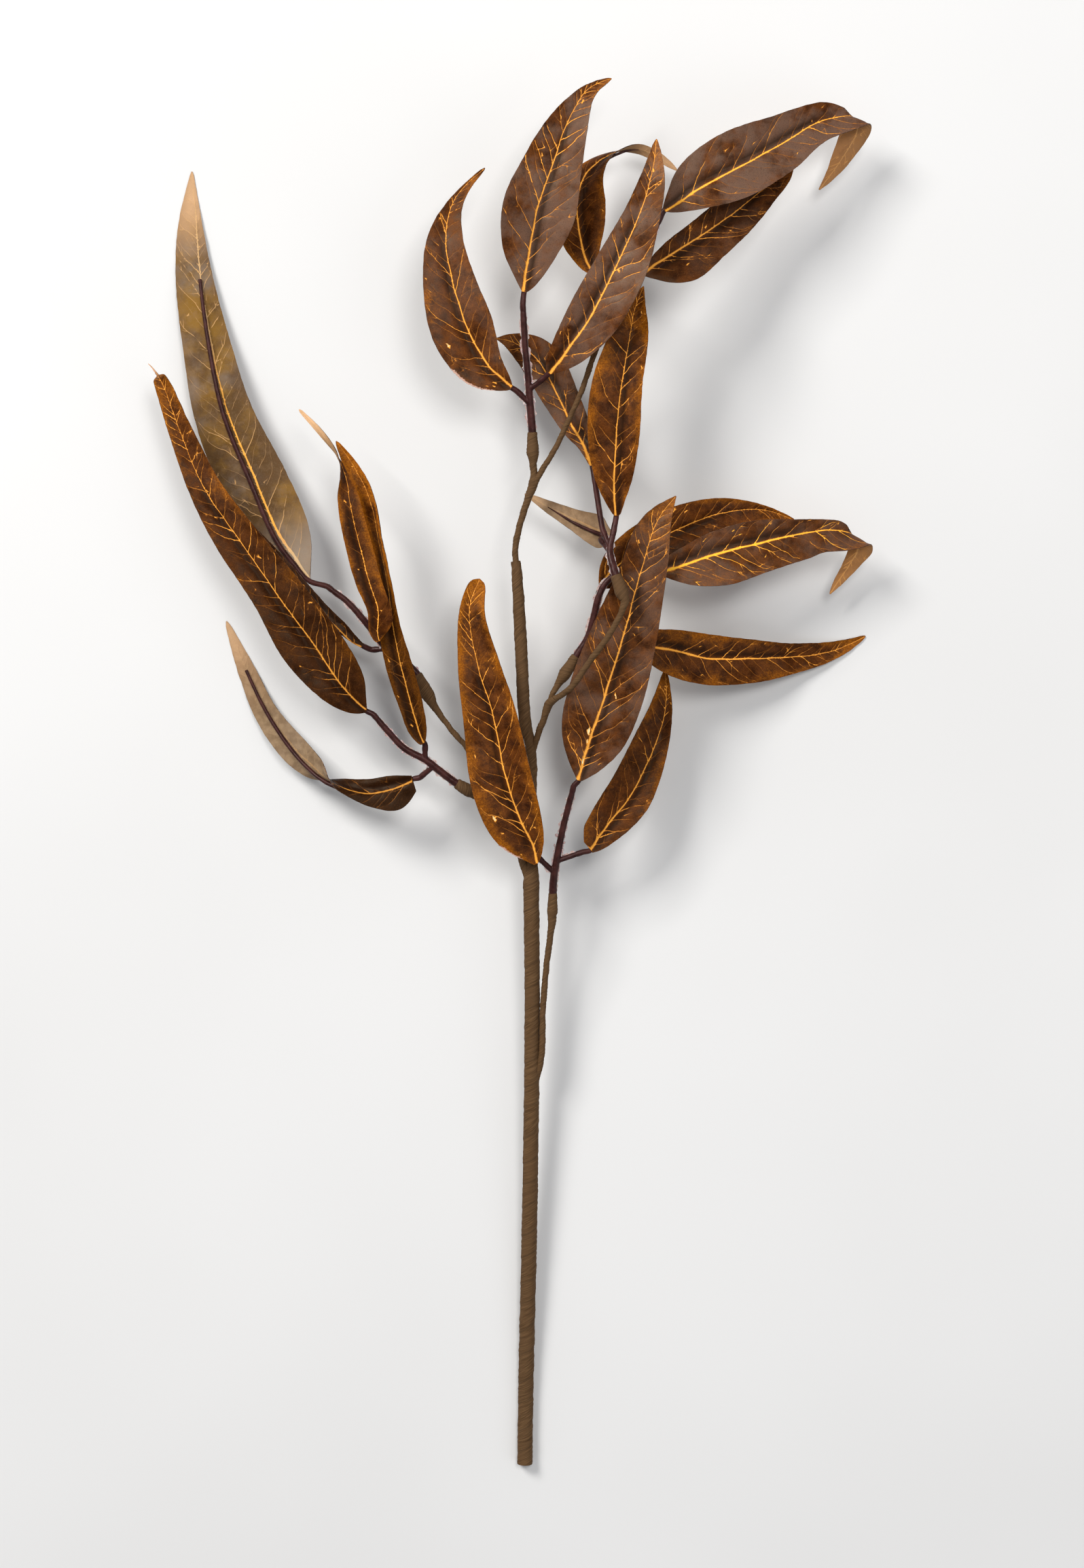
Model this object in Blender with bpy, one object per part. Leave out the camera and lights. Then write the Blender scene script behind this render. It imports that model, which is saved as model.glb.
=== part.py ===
# Artificial eucalyptus stem: a taped wire trunk with seven branches, each ending in a sprig of three leaves.
# It lies on a table with its leaves upwards. X is across the stem, Y runs from the cut end to the tips and
# Z is the height over the table. The tables below are in millimetres, measured from the trunk at the foot
# of its lowest fork, and BOX_CENTRE takes them to the middle of the whole stem.
import math
import random

import bmesh
import bpy
import numpy as np
from mathutils import Vector

MM = 0.001
BOX_CENTRE = (-15.2, 54.4, 0.0)

GAP = 0.3
BLADE_THICKNESS = 0.6
LEAST_WIDTH = 0.6
DISH_POWER = 1.4
WAVE_SHARE = 0.06
WAVE_TURNS = (1.6, 2.8)
BLADE_SHARES = (1.0, 0.5, 0.0, -0.5, -1.0)
ROWS_BETWEEN = 2
TUBE_SIDES = 8
RIB_SIDES = 6

WIRE_RADIUS = 1.3
TOP_WIRE_RADIUS = 1.5
TOP_SEAT = 3.0
SOCKET_DEPTH = 7.0
STEM_SEAT = 6.4
STEM_LEAD = 0.6
COLLAR_START = 0.3
COLLAR_END_SHARE = 0.86
SPRIG_RADIUS = (1.75, 1.45)
STUB_RADIUS = 1.35
PIN_RADIUS = 0.7
PIN_LENGTH = 3.2
SLEEVE_RADIUS = 1.75
SLEEVE_DEPTH = 3.8
PETIOLE_RADIUS = 1.35
PETIOLE_STEPS = 3
RIB_RADIUS = (1.15, 0.55)
RIB_CLEARANCE = 0.4

# Trunk centre line and radius, from the cut end to the end of its thick wrap.
TRUNK = [
    (-9, -300, 3.6, 3.9),
    (-8.4, -258, 3.6, 3.9),
    (-7, -195, 8, 3.9),
    (-5.5, -110, 15, 3.85),
    (-5, -45, 20.5, 3.85),
    (-5.4, 0, 24, 3.9),
    (-5.4, 10, 24.6, 4.0),
    (-5, 20, 25.2, 2.7),
    (-5.2, 50, 27, 2.5),
    (-5.6, 78, 29, 2.6),
    (-8.6, 93, 30, 3.0),
    (-10.2, 124, 32, 3.05),
    (-11.6, 151, 34, 2.9),
    (-12.6, 168, 35, 2.5),
    (-13.1, 172.5, 35.3, 2.3),
]

# Branches: the neighbour that each springs from, its centre line and radius, and the end of its collar.
# Branch a lies along the trunk's side at first, and branch d goes down into the trunk's own socket.
BRANCHES = {
    "a": dict(
        root="side",
        path=[(-0.3, -84, 19, 0.9), (0.1, -76, 20.1, 1.5), (0.4, -57, 21.8, 1.5), (2.2, -34, 24.2, 1.5),
              (4.6, -14, 28, 1.6), (5, -9, 28.8, 2.1)],
        collar=(5.5, 5.5, 31),
        radius=2.45,
    ),
    "b": dict(
        root="trunk",
        path=[(-5.4, 6, 24.2, 1.9), (-9.4, 20, 25, 2.1), (-14, 34, 26, 1.9), (-20, 46, 27.5, 1.8),
              (-25, 51, 28.3, 2.0), (-30, 53.4, 29, 1.7), (-33.6, 55.2, 29.6, 2.3)],
        collar=(-43, 61, 31),
        radius=3.0,
    ),
    "c": dict(
        root="b",
        path=[(-23.5, 50.5, 28.3, 1.3), (-29, 64, 28.6, 1.3), (-38, 79, 28.4, 1.35), (-44.2, 86, 28, 1.35),
              (-49.6, 93, 28, 1.35), (-54.6, 100.4, 28, 2.1)],
        collar=(-62.8, 115.6, 28),
        radius=3.1,
    ),
    "d": dict(
        root="socket",
        path=[(-13.1, 173, 35.4, 1.5), (-13.3, 178.6, 36, 1.5), (-11.8, 187.4, 37.3, 1.5),
              (-9.7, 195, 38.4, 1.6), (-7, 203.4, 39.6, 1.7), (-4.2, 211.5, 40.6, 2.2),
              (-4, 216, 41.2, 1.7), (-4.4, 221, 41.8, 1.8)],
        collar=(-4.8, 236.4, 43),
        radius=2.7,
    ),
    "e": dict(
        root="d",
        path=[(-4.4, 209, 40.4, 1.3), (-1.6, 215, 42.4, 1.3), (2.7, 222, 43.6, 1.3), (8.4, 232, 44.4, 1.3),
              (12.8, 241.6, 45, 1.3), (16.8, 250.2, 45.4, 1.3), (21, 260.6, 45.8, 1.3),
              (24.5, 271.3, 46, 1.3), (31.5, 289.5, 46.4, 2.0)],
        collar=(38.6, 302.8, 46.8),
        radius=2.9,
    ),
    "f": dict(
        root="trunk",
        path=[(-5.2, 75.5, 28.7, 1.5), (-1.6, 87, 32, 1.55), (1, 94, 35.2, 1.6), (3.7, 102, 38.8, 2.1),
              (9, 106, 44, 1.4), (15.3, 111.6, 49.4, 1.4), (21.3, 120.4, 52.4, 1.4), (26.5, 128, 54.8, 1.4),
              (32, 135.4, 56.6, 1.4), (36.2, 142.6, 57.8, 1.4), (39.4, 149.4, 58.4, 1.5),
              (40.6, 154.2, 58.6, 2.1)],
        collar=(36.1, 166.6, 57.6),
        radius=3.1,
    ),
    "g": dict(
        root="f",
        path=[(3.6, 101, 38.4, 1.3), (5.6, 107.4, 39.8, 1.3), (8.6, 112.4, 40, 1.9)],
        collar=(17, 125.4, 40),
        radius=2.85,
    ),
}

# Sprig stems after the collar: the way to the end leaf's joint, and each side stub's root and joint.
SPRIGS = {
    "a": dict(
        path=[(6, 14, 32.4), (7.4, 22.6, 33.8), (9.4, 33.6, 35.4), (11.6, 43.6, 37), (15, 57, 39.4)],
        stubs={
            "a1": ((6.2, 16, 32.8), (0.6, 21.6, 35)),
            "a2": ((7.6, 22, 33.6), (17, 25.2, 33)),
        },
        end="a3",
    ),
    "b": dict(
        path=[(-50.4, 66.6, 32), (-58.4, 73, 33), (-69, 79, 34.2), (-77.4, 88, 35.4), (-82, 93.4, 36.2)],
        stubs={
            "b1": ((-54.4, 69.8, 32.4), (-58.6, 66.2, 30.8)),
            "b2": ((-58.6, 73.2, 33), (-58.6, 77.2, 34.2)),
        },
        end="b3",
    ),
    "c": dict(
        path=[(-71.6, 124.2, 28), (-81, 132.2, 28), (-87.4, 140.6, 27.8), (-97.2, 151.8, 27.2),
              (-104.6, 157.4, 26.6)],
        stubs={
            "c2": ((-82.4, 134, 28), (-82.9, 134.6, 33)),
            "c3": ((-76.6, 128.6, 28), (-81.6, 128.2, 26.6)),
        },
        end="c1",
    ),
    "d": dict(
        path=[(-5.4, 244, 43.8), (-6.1, 252.8, 44.6), (-6.8, 262.4, 45.4), (-8.2, 277, 46.6),
              (-9.2, 294.6, 48)],
        stubs={
            "d1": ((-6.2, 250.6, 44.4), (-9.6, 253.8, 45.4)),
            "d2": ((-6.4, 257, 45), (-2, 260.4, 46.8)),
        },
        end="d3",
    ),
    "e": dict(
        path=[(44.2, 312.4, 47), (51, 326.4, 47), (56.2, 337.2, 46.8)],
        stubs={
            "e1": ((43.6, 311, 47), (38.2, 311.6, 45.4)),
            "e3": ((45.6, 315, 47), (47.6, 314, 50)),
        },
        end="e2",
    ),
    "f": dict(
        path=[(35, 170.6, 56.6), (33.8, 175, 55), (33.5, 180.2, 53), (34.7, 185.6, 51.6)],
        stubs={
            "f1": ((33.6, 179.4, 53.2), (31.2, 185.4, 50)),
            "f3": ((33.7, 177.4, 54), (30.8, 181.2, 49.4)),
        },
        end="f2",
    ),
    "g": dict(
        path=[(22.9, 134.8, 40.6), (25.6, 144.6, 41.6), (27.8, 154.2, 42.4), (30.8, 161, 42.6),
              (34.6, 165, 42.4)],
        stubs={
            "g1": ((26.2, 147, 41.8), (27.2, 151.6, 39)),
            "g3": ((23.2, 135.8, 40.8), (27.6, 134.8, 38.6)),
        },
        end="g2",
    ),
}

# Leaves: rows from base to tip of midrib place, half widths to the left and right of the way that the leaf
# grows, and roll in degrees: 0 lies face up, 90 stands on edge and 180 shows its back. A seventh value
# sets the heading of a row's cross line where the tip folds over. Dish is how far the sides rise, in degrees,
# and rib names the rows where the rib under the blade begins and ends.
LEAVES = {
    "a1": dict(dish=14, rib=(1, 5), rows=[
        (-3, 21, 38, 2, 2, 0), (-6, 30, 40, 10, 7.5, -4), (-12, 43, 43, 15, 12.5, -6),
        (-20, 67, 45, 16, 15, -6), (-26, 99, 45, 13.5, 13, -6), (-32, 120, 44, 9.5, 12, -6),
        (-36, 148, 41, 5, 8, -4), (-31, 164, 38, 1, 1, 0)]),
    "a2": dict(dish=14, rib=(0, 4), rows=[
        (24.5, 27.4, 34.4, 4, 1.5, 0), (28, 30, 33.5, 10.5, 3.5, 4), (34, 39, 32, 12.6, 7.5, 8),
        (46, 54, 29, 15, 9.2, 8), (57, 78, 25, 13, 6.4, 6), (62.5, 99, 22, 9, 3, 4),
        (62, 118, 20, 1, 1, 0)]),
    "a3": dict(dish=10, rib=(0, 5), rows=[
        (18.4, 63.5, 42, 2.5, 2, 0), (21, 70, 42, 9.5, 7.5, 0), (26, 85, 42.6, 17, 15.5, -6),
        (34, 109, 44, 20, 17.5, -8), (42, 138, 46, 17, 15.5, -6), (48.5, 166, 47.5, 11, 13, 0),
        (56.5, 192, 49, 8, 9, 0), (66, 205, 48, 1, 1, 0)]),
    "b1": dict(dish=8, rib=(0, 8), rows=[
        (-65, 63, 31, 2, 2, 0), (-74, 60, 30, 13, 5, 5), (-87, 57, 28.5, 8.6, 6, 20),
        (-98, 58, 26, 5.4, 5.6, 50), (-107, 61, 22, 7, 6.5, 95), (-116, 66, 17, 8, 6.5, 145),
        (-127, 76, 11, 8, 7, 172), (-140, 94, 4.6, 5.5, 6.8, 180), (-151, 116, 1, 4.5, 4.5, 180),
        (-161, 141, 0, 1, 1, 180)]),
    "b2": dict(dish=10, rib=(1, 6), rows=[
        (-59.6, 81.5, 38.4, 1.5, 2.5, 0), (-63, 88, 38.4, 3.5, 6, 0), (-67, 101, 38.4, 4.5, 7.6, 0),
        (-72, 121, 38.6, 6, 7.4, -5), (-75, 138, 39, 6, 5.5, -15), (-77, 158, 39, 5, 4, -35),
        (-81, 182, 39, 5, 3.5, -40), (-86, 205, 38.6, 5, 3, -25), (-93, 219, 38, 4, 2.5, 0),
        (-102, 232, 37.6, 0.8, 0.8, 0)]),
    "b3": dict(dish=13, rib=(0, 6), rows=[
        (-87.8, 98, 38.4, 2, 2.5, 0), (-92, 101, 39, 5.5, 9.5, 0), (-101, 110, 40.4, 10, 14.5, 3),
        (-116, 132, 41, 14.6, 15.5, 5), (-134, 157, 40, 10.8, 14.5, 5), (-153, 185, 37, 10.3, 11, 3),
        (-169, 210, 34, 7, 9, 0), (-181, 240, 31, 5.5, 5.8, 0), (-190, 263, 28, 2.5, 2, 0),
        (-196, 270.5, 26, 0.8, 0.8, 0)]),
    "c1": dict(dish=8, rib=(0, 6), rows=[
        (-117, 162.5, 24, 2, 2, 180), (-123, 169, 23, 11, 7, 180), (-133, 182, 21, 18, 12.5, 180),
        (-146, 211, 17, 18, 15.5, 180), (-160, 246, 13.4, 14.5, 15, 180), (-167, 278, 9, 11, 13.5, 180),
        (-172, 313, 4, 6.5, 12.5, 180), (-174, 341, 1, 3, 9.5, 180), (-176, 367, 0, 0.8, 0.8, 180)]),
    "c2": dict(dish=8, rib=(1, 5), rows=[
        (-81.4, 133, 43, 2, 8, 0), (-83, 139, 44.4, 2.8, 10, 0), (-83, 149, 45.4, 3.6, 8.2, 0),
        (-87, 162, 46, 5, 7.8, 0), (-92, 183, 46, 5.6, 7.4, 0), (-96, 203, 46, 5, 5.8, 10),
        (-97.5, 215, 45, 3.6, 3, 55), (-101, 225, 43, 2.2, 2, 100), (-110, 237, 40.5, 1.6, 1.6, 150),
        (-120, 247.5, 38, 0.7, 0.7, 180)]),
    "c3": dict(dish=6, rib=(0, 4), rows=[
        (-90, 130, 28.4, 1.2, 1.2, 0), (-94, 133, 29, 1.8, 2, 0), (-100, 139, 30, 3, 2.8, 0),
        (-109, 148, 31, 4, 2.8, 0), (-120, 160, 31.6, 4.5, 3, 0), (-132, 174, 31.4, 4, 2.8, 0),
        (-145, 190, 30, 0.8, 0.8, 0)]),
    "d1": dict(dish=14, rib=(0, 5), rows=[
        (-15, 258, 48.4, 2, 2, 0), (-19, 260.4, 48.8, 5, 5, 0), (-27, 267, 49.6, 12, 9, 4),
        (-38, 286, 50.4, 16.5, 14.5, 4), (-45, 310, 50, 13.5, 12.5, 0), (-47.4, 331, 48.4, 8.5, 9, 0),
        (-43, 349, 45, 2, 5, 0), (-28, 365, 40, 0.8, 0.8, 0)]),
    "d2": dict(dish=12, rib=(0, 5), rows=[
        (3.4, 265, 51, 2, 2, 0), (6, 269.6, 53.4, 4.5, 6.5, 0), (12, 278, 58, 7, 11.5, -4),
        (23, 294, 63, 10, 16, -6), (35.6, 318, 65, 9, 16.5, -6), (46.4, 340, 65, 7, 11, -4),
        (52.5, 358, 63, 5, 7, 0), (55.4, 377, 58, 0.8, 0.8, 0)]),
    "d3": dict(dish=14, rib=(0, 5), rows=[
        (-8.8, 304.4, 49.6, 2, 2, 0), (-7.2, 310, 50.2, 7, 5.5, 0), (-5, 321, 51, 14.5, 10.5, 4),
        (-1, 343, 52, 19, 17, 6), (6, 365, 51, 15.5, 13.5, 4), (13, 387, 48, 8.5, 10, 0),
        (22, 402, 45, 2.5, 5, 0), (34, 408, 41, 0.8, 0.8, 0)]),
    "e1": dict(dish=8, rib=(0, 7), rows=[
        (26.6, 313, 42.6, 2, 2, 0), (24, 318.6, 41, 6, 4, 0), (20, 335, 35, 12, 11, 0),
        (19, 350, 31, 10, 12.5, -5), (23, 363, 28, 7, 9.5, -25), (31, 371, 25.6, 5, 5.5, -60),
        (39, 375, 23.6, 4, 3, -95), (48, 376, 21.4, 3.2, 2.8, -140), (57, 372.6, 19.4, 2.4, 2.4, -170),
        (67, 366, 18, 0.8, 0.8, -180)]),
    "e2": dict(dish=12, rib=(0, 5), rows=[
        (59.6, 344, 48.6, 2, 2, 0), (64, 347, 49, 6, 5.5, 0), (73, 354, 48.6, 12.5, 11.5, 0),
        (93, 365, 45.6, 16.6, 16.5, 0), (116, 377.6, 40, 12.6, 15.2, 0), (139, 389.6, 33, 8, 10, 0),
        (154, 390.4, 27.4, 6, 8, 0, 150), (155.4, 383.6, 22, 7.6, 7, 0, 175),
        (150, 373.6, 18.6, 5.6, 6, 0, 180), (144, 364.6, 16.6, 2.6, 4.4, 0, 180),
        (138, 356.6, 15.6, 0.6, 0.8, 0, 180)]),
    "e3": dict(dish=12, rib=(1, 5), rows=[
        (49.6, 312.4, 57, 2, 2.5, 0), (54, 314.8, 56, 5, 9, 0), (64, 321, 51, 8, 15.2, 0),
        (82, 333, 41, 9.8, 13, 0), (97, 345, 33.6, 10, 11, 0), (111, 357, 27.4, 8, 8.2, 0),
        (121, 363.6, 24, 4, 4, 0), (124.6, 368, 22.6, 1, 1, 0)]),
    "f1": dict(dish=10, rib=(0, 5), rows=[
        (24.8, 220, 42, 1.5, 1.5, 0), (22.6, 229.6, 39.6, 4.6, 4.4, 0), (17, 239, 37, 7, 7, 0),
        (10, 253, 34, 9.2, 8.6, 0), (2, 267, 31, 10, 10.5, 0), (-6, 276, 28, 9, 10.5, 0),
        (-16, 281.6, 24.6, 5.6, 6, 0), (-23, 283, 23, 1, 1, 0)]),
    "f2": dict(dish=12, rib=(0, 5), rows=[
        (36.6, 195.4, 50.8, 2, 1.8, 0), (37, 201.6, 51.4, 6, 3.4, 0), (37, 215, 52.6, 11.6, 7.6, 0),
        (38, 235, 54, 15.8, 9.6, 0), (40, 261, 55, 15.6, 9.2, 0), (43, 284, 54.4, 10, 9.2, 0),
        (46, 298, 53, 5, 6, 0), (49.6, 307, 51.6, 0.8, 0.8, 0)]),
    "f3": dict(dish=6, rib=(1, 4), rows=[
        (36, 184.6, 34, 5, 3, 180), (31, 185, 34, 8.6, 7, 180), (26, 187, 33.4, 9.4, 6.4, 180),
        (16, 191.6, 31, 7, 4, 180), (3, 199.4, 28, 3.4, 2.8, 180), (-4, 203.4, 26, 1.8, 1.4, 180),
        (-8.6, 205.8, 25, 0.7, 0.7, 180)]),
    "g1": dict(dish=12, rib=(0, 4), rows=[
        (29, 159.6, 38.4, 3, 2, 0), (34, 165, 37.8, 8.6, 8, 0), (45, 174, 36, 12.4, 12, 0),
        (66, 186, 32.6, 13, 13, 0), (89, 195.6, 28, 8.4, 13, 0), (110, 198, 24, 2.6, 9, 0),
        (127, 192.4, 21, 0.8, 0.8, 0)]),
    "g2": dict(dish=12, rib=(0, 5), rows=[
        (57, 167.4, 43.6, 2, 2, 0), (63, 170, 43.4, 5, 8.6, 0), (72, 173.4, 42.4, 7, 14, 0),
        (88, 178.6, 40, 9.4, 18, 0), (109, 183.4, 37, 9.8, 16.2, 0), (130, 187.4, 33, 6, 13.8, 0),
        (144, 188.4, 29.6, 4.6, 11, 0), (156, 185.6, 25, 5, 9.6, 0, 138),
        (158.6, 178.4, 20, 4.6, 7.6, 0, 160), (155, 170.6, 17, 3.4, 6.6, 0, 180),
        (150, 163, 15.4, 2.4, 4.4, 0, 180), (145.4, 155.4, 14.6, 0.6, 0.8, 0, 180)]),
    "g3": dict(dish=10, rib=(0, 5), rows=[
        (44.6, 131.4, 35, 2, 2, 0), (51, 131.8, 34, 6, 9, 0), (64, 130, 31.4, 8.6, 14, 0),
        (83, 125.4, 25.6, 10.4, 15, 0), (105, 124, 15.6, 8.6, 13.6, 0), (126, 123.4, 7.4, 6.8, 9.2, 0),
        (145, 125, 2.4, 5.4, 5, 0), (156, 128.8, 0.6, 3, 3, 0), (165, 133.4, 0.6, 0.8, 0.8, 0)]),
}


def clear_scene():
    for thing in list(bpy.data.objects):
        bpy.data.objects.remove(thing, do_unlink=True)


def make_material(name, colour, roughness, metallic=0.0):
    material = bpy.data.materials.new(name)
    material.use_nodes = True
    shader = material.node_tree.nodes["Principled BSDF"]
    shader.inputs["Base Color"].default_value = (*colour, 1.0)
    shader.inputs["Roughness"].default_value = roughness
    shader.inputs["Metallic"].default_value = metallic
    return material


# A curve through every row, with each row's other values carried along it.
def smooth(rows, steps):
    rows = np.array(rows, dtype=float)
    spans = np.sqrt(np.linalg.norm(np.diff(rows[:, :3], axis=0), axis=1))[:, None]
    slopes = np.diff(rows, axis=0) / spans
    bends = np.empty_like(rows)
    bends[1:-1] = (slopes[:-1] * spans[1:] + slopes[1:] * spans[:-1]) / (spans[:-1] + spans[1:])
    bends[0] = 1.5 * slopes[0] - 0.5 * bends[1] if len(rows) > 2 else slopes[0]
    bends[-1] = 1.5 * slopes[-1] - 0.5 * bends[-2] if len(rows) > 2 else slopes[-1]
    stations = []
    for start in range(len(rows) - 1):
        for step in range(steps):
            t = step / steps
            near = (1 + 2 * t) * (1 - t) ** 2 * rows[start] + t * (1 - t) ** 2 * spans[start] * bends[start]
            far = t * t * (3 - 2 * t) * rows[start + 1] + t * t * (t - 1) * spans[start] * bends[start + 1]
            stations.append(near + far)
    stations.append(rows[-1])
    return np.array(stations)


def unit(vectors):
    return vectors / np.linalg.norm(vectors, axis=-1, keepdims=True)


def tangents(points):
    ways = unit(np.diff(points, axis=0))
    return unit(np.vstack((ways[:1], ways[:-1] + ways[1:], ways[-1:])))


# The corner radius of a hole whose flat sides clear a round pin.
def socket_radius(pin, sides):
    return (pin + GAP) / math.cos(math.pi / sides)


# Side and up vectors at every point of a line, carried along it without twist from a first side vector.
def carried_frames(points, first_side):
    ways = tangents(points)
    sides = []
    side = np.array(first_side, dtype=float)
    for way in ways:
        side = unit(side - way * np.dot(side, way))
        sides.append(side)
    sides = np.array(sides)
    return sides, np.cross(ways, sides)


# A closed tube: the outline visits stations of the line in order, each with a radius, so that it can turn
# back inside itself as a socket or go on as a thinner pin.
def tube_mesh(points, frames, outline, sides):
    across, up = frames
    mesh = bmesh.new()
    rings = []
    for station, radius in outline:
        ring = []
        for corner in range(sides):
            angle = 2 * math.pi * (corner + 0.5) / sides - math.pi / 2
            spoke = math.cos(angle) * across[station] + math.sin(angle) * up[station]
            ring.append(mesh.verts.new((points[station] + radius * spoke) * MM))
        rings.append(ring)
    for near, far in zip(rings[:-1], rings[1:]):
        for corner in range(sides):
            after = (corner + 1) % sides
            mesh.faces.new((near[corner], near[after], far[after], far[corner]))
    mesh.faces.new(rings[0][::-1])
    mesh.faces.new(rings[-1])
    return mesh


def add_object(name, mesh, material):
    bmesh.ops.translate(mesh, verts=mesh.verts, vec=-Vector(BOX_CENTRE) * MM)
    data = bpy.data.meshes.new(name)
    mesh.to_mesh(data)
    mesh.free()
    data.materials.append(material)
    thing = bpy.data.objects.new(name, data)
    bpy.context.scene.collection.objects.link(thing)
    return thing


def apply_boolean(thing, tool, operation):
    modifier = thing.modifiers.new("boolean", "BOOLEAN")
    modifier.object = tool
    modifier.operation = operation
    bpy.context.view_layer.objects.active = thing
    bpy.ops.object.modifier_apply(modifier=modifier.name)
    bpy.data.objects.remove(tool, do_unlink=True)


# A branch's root is cut to fit the taped wire that it springs from, which this tube matches with a gap.
def root_cutter(rows, material):
    points = rows[:, :3]
    outline = [(station, socket_radius(radius, TUBE_SIDES)) for station, radius in enumerate(rows[:, 3])]
    mesh = tube_mesh(points, carried_frames(points, (1, 0, 0)), outline, TUBE_SIDES)
    return add_object("cutter", mesh, material)


# The trunk's wrap is open at its cut end, where the wire core shows, and holds the top wire in a socket.
def build_trunk(tape, wire):
    rows = np.array(TRUNK, dtype=float)
    points = rows[:, :3]
    top = len(rows) - 1
    frames = carried_frames(points, (1, 0, 0))
    core_end = top - 2
    bore, socket = socket_radius(WIRE_RADIUS, TUBE_SIDES), socket_radius(TOP_WIRE_RADIUS, TUBE_SIDES)
    outline = [(station, bore) for station in range(core_end, -1, -1)]
    outline += list(enumerate(rows[:, 3]))
    outline += [(top, socket), (top - 1, socket)]
    add_object("trunk_wrap", tube_mesh(points, frames, outline, TUBE_SIDES), tape)
    core = [(station, WIRE_RADIUS) for station in range(core_end)]
    add_object("trunk_wire", tube_mesh(points, frames, core, TUBE_SIDES), wire)
    return rows


# A branch is a taped wire that swells to a collar, with a socket in its end for the sprig's stem.
def build_branch(key, tape):
    branch = BRANCHES[key]
    rows = np.array(branch["path"], dtype=float)
    reach = np.array(branch["collar"], dtype=float) - rows[-1, :3]
    length = np.linalg.norm(reach)
    axis = reach / length
    radius = branch["radius"]
    swell = [(COLLAR_START, radius), (1 - SOCKET_DEPTH / length, radius), (1.0, radius * COLLAR_END_SHARE)]
    collar = [(*(rows[-1, :3] + reach * share), ring) for share, ring in swell]
    rows = np.vstack((rows, collar))
    if branch["root"] == "socket":
        seat = rows[0, :3] - TOP_SEAT * unit(rows[1, :3] - rows[0, :3])
        rows = np.vstack(((*seat, rows[0, 3]), rows))
    points = rows[:, :3]
    last = len(rows) - 1
    bore = socket_radius(SPRIG_RADIUS[0], TUBE_SIDES)
    outline = list(enumerate(rows[:, 3])) + [(last, bore), (last - 1, bore)]
    mesh = tube_mesh(points, carried_frames(points, (1, 0, 0)), outline, TUBE_SIDES)
    return add_object("branch_" + key, mesh, tape), rows, axis


def stub_mesh(root, joint):
    way = unit(joint - root)
    points = np.array([root, joint, joint + way * PIN_LENGTH])
    outline = [(0, STUB_RADIUS), (1, STUB_RADIUS), (1, PIN_RADIUS), (2, PIN_RADIUS)]
    return tube_mesh(points, carried_frames(points, (1, 0, 0)), outline, RIB_SIDES)


# A sprig's stem sits in the collar, carries two side stubs and ends in a stub, each with a pin for a leaf.
# Each leaf's joint is returned with the way that its pin points.
def build_sprig(key, collar, axis, plastic):
    sprig = SPRIGS[key]
    way = np.vstack((collar + STEM_LEAD * axis, sprig["path"]))
    radii = np.linspace(SPRIG_RADIUS[0], SPRIG_RADIUS[1], len(way))
    end_way = unit(way[-1] - way[-2])
    points = np.vstack((collar - STEM_SEAT * axis, way, way[-1] + end_way * PIN_LENGTH))
    last = len(points) - 1
    outline = [(0, SPRIG_RADIUS[0])]
    outline += [(station + 1, radius) for station, radius in enumerate(radii)]
    outline += [(last - 1, PIN_RADIUS), (last, PIN_RADIUS)]
    mesh = tube_mesh(points, carried_frames(points, (1, 0, 0)), outline, TUBE_SIDES)
    stem = add_object("stem_" + key, mesh, plastic)
    joints = {sprig["end"]: (way[-1], end_way)}
    for leaf, (root, joint) in sprig["stubs"].items():
        root, joint = np.array(root, dtype=float), np.array(joint, dtype=float)
        stub = add_object("stub_" + leaf, stub_mesh(root, joint), plastic)
        apply_boolean(stem, stub, "UNION")
        joints[leaf] = (joint, unit(joint - root))
    return joints


# Where each row of a leaf stands, the way to its left edge, the way that its face looks and its half widths.
def leaf_stations(leaf):
    rows = leaf["rows"]
    spots = np.array([row[:3] for row in rows], dtype=float)
    ways = tangents(spots)
    headings = [row[6] if len(row) > 6 else math.degrees(math.atan2(way[1], way[0])) + 90
                for row, way in zip(rows, ways)]
    headings = np.degrees(np.unwrap(np.radians(headings)))
    full = [(*row[:6], heading) for row, heading in zip(rows, headings)]
    stations = smooth(full, ROWS_BETWEEN)
    points = stations[:, :3]
    roll, heading = np.radians(stations[:, 5]), np.radians(stations[:, 6])
    across = np.stack((np.cos(heading) * np.cos(roll), np.sin(heading) * np.cos(roll), np.sin(roll)), axis=1)
    face = unit(np.cross(tangents(points), across))
    widths = np.maximum(stations[:, 3:5], LEAST_WIDTH)
    return points, across, face, widths


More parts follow.
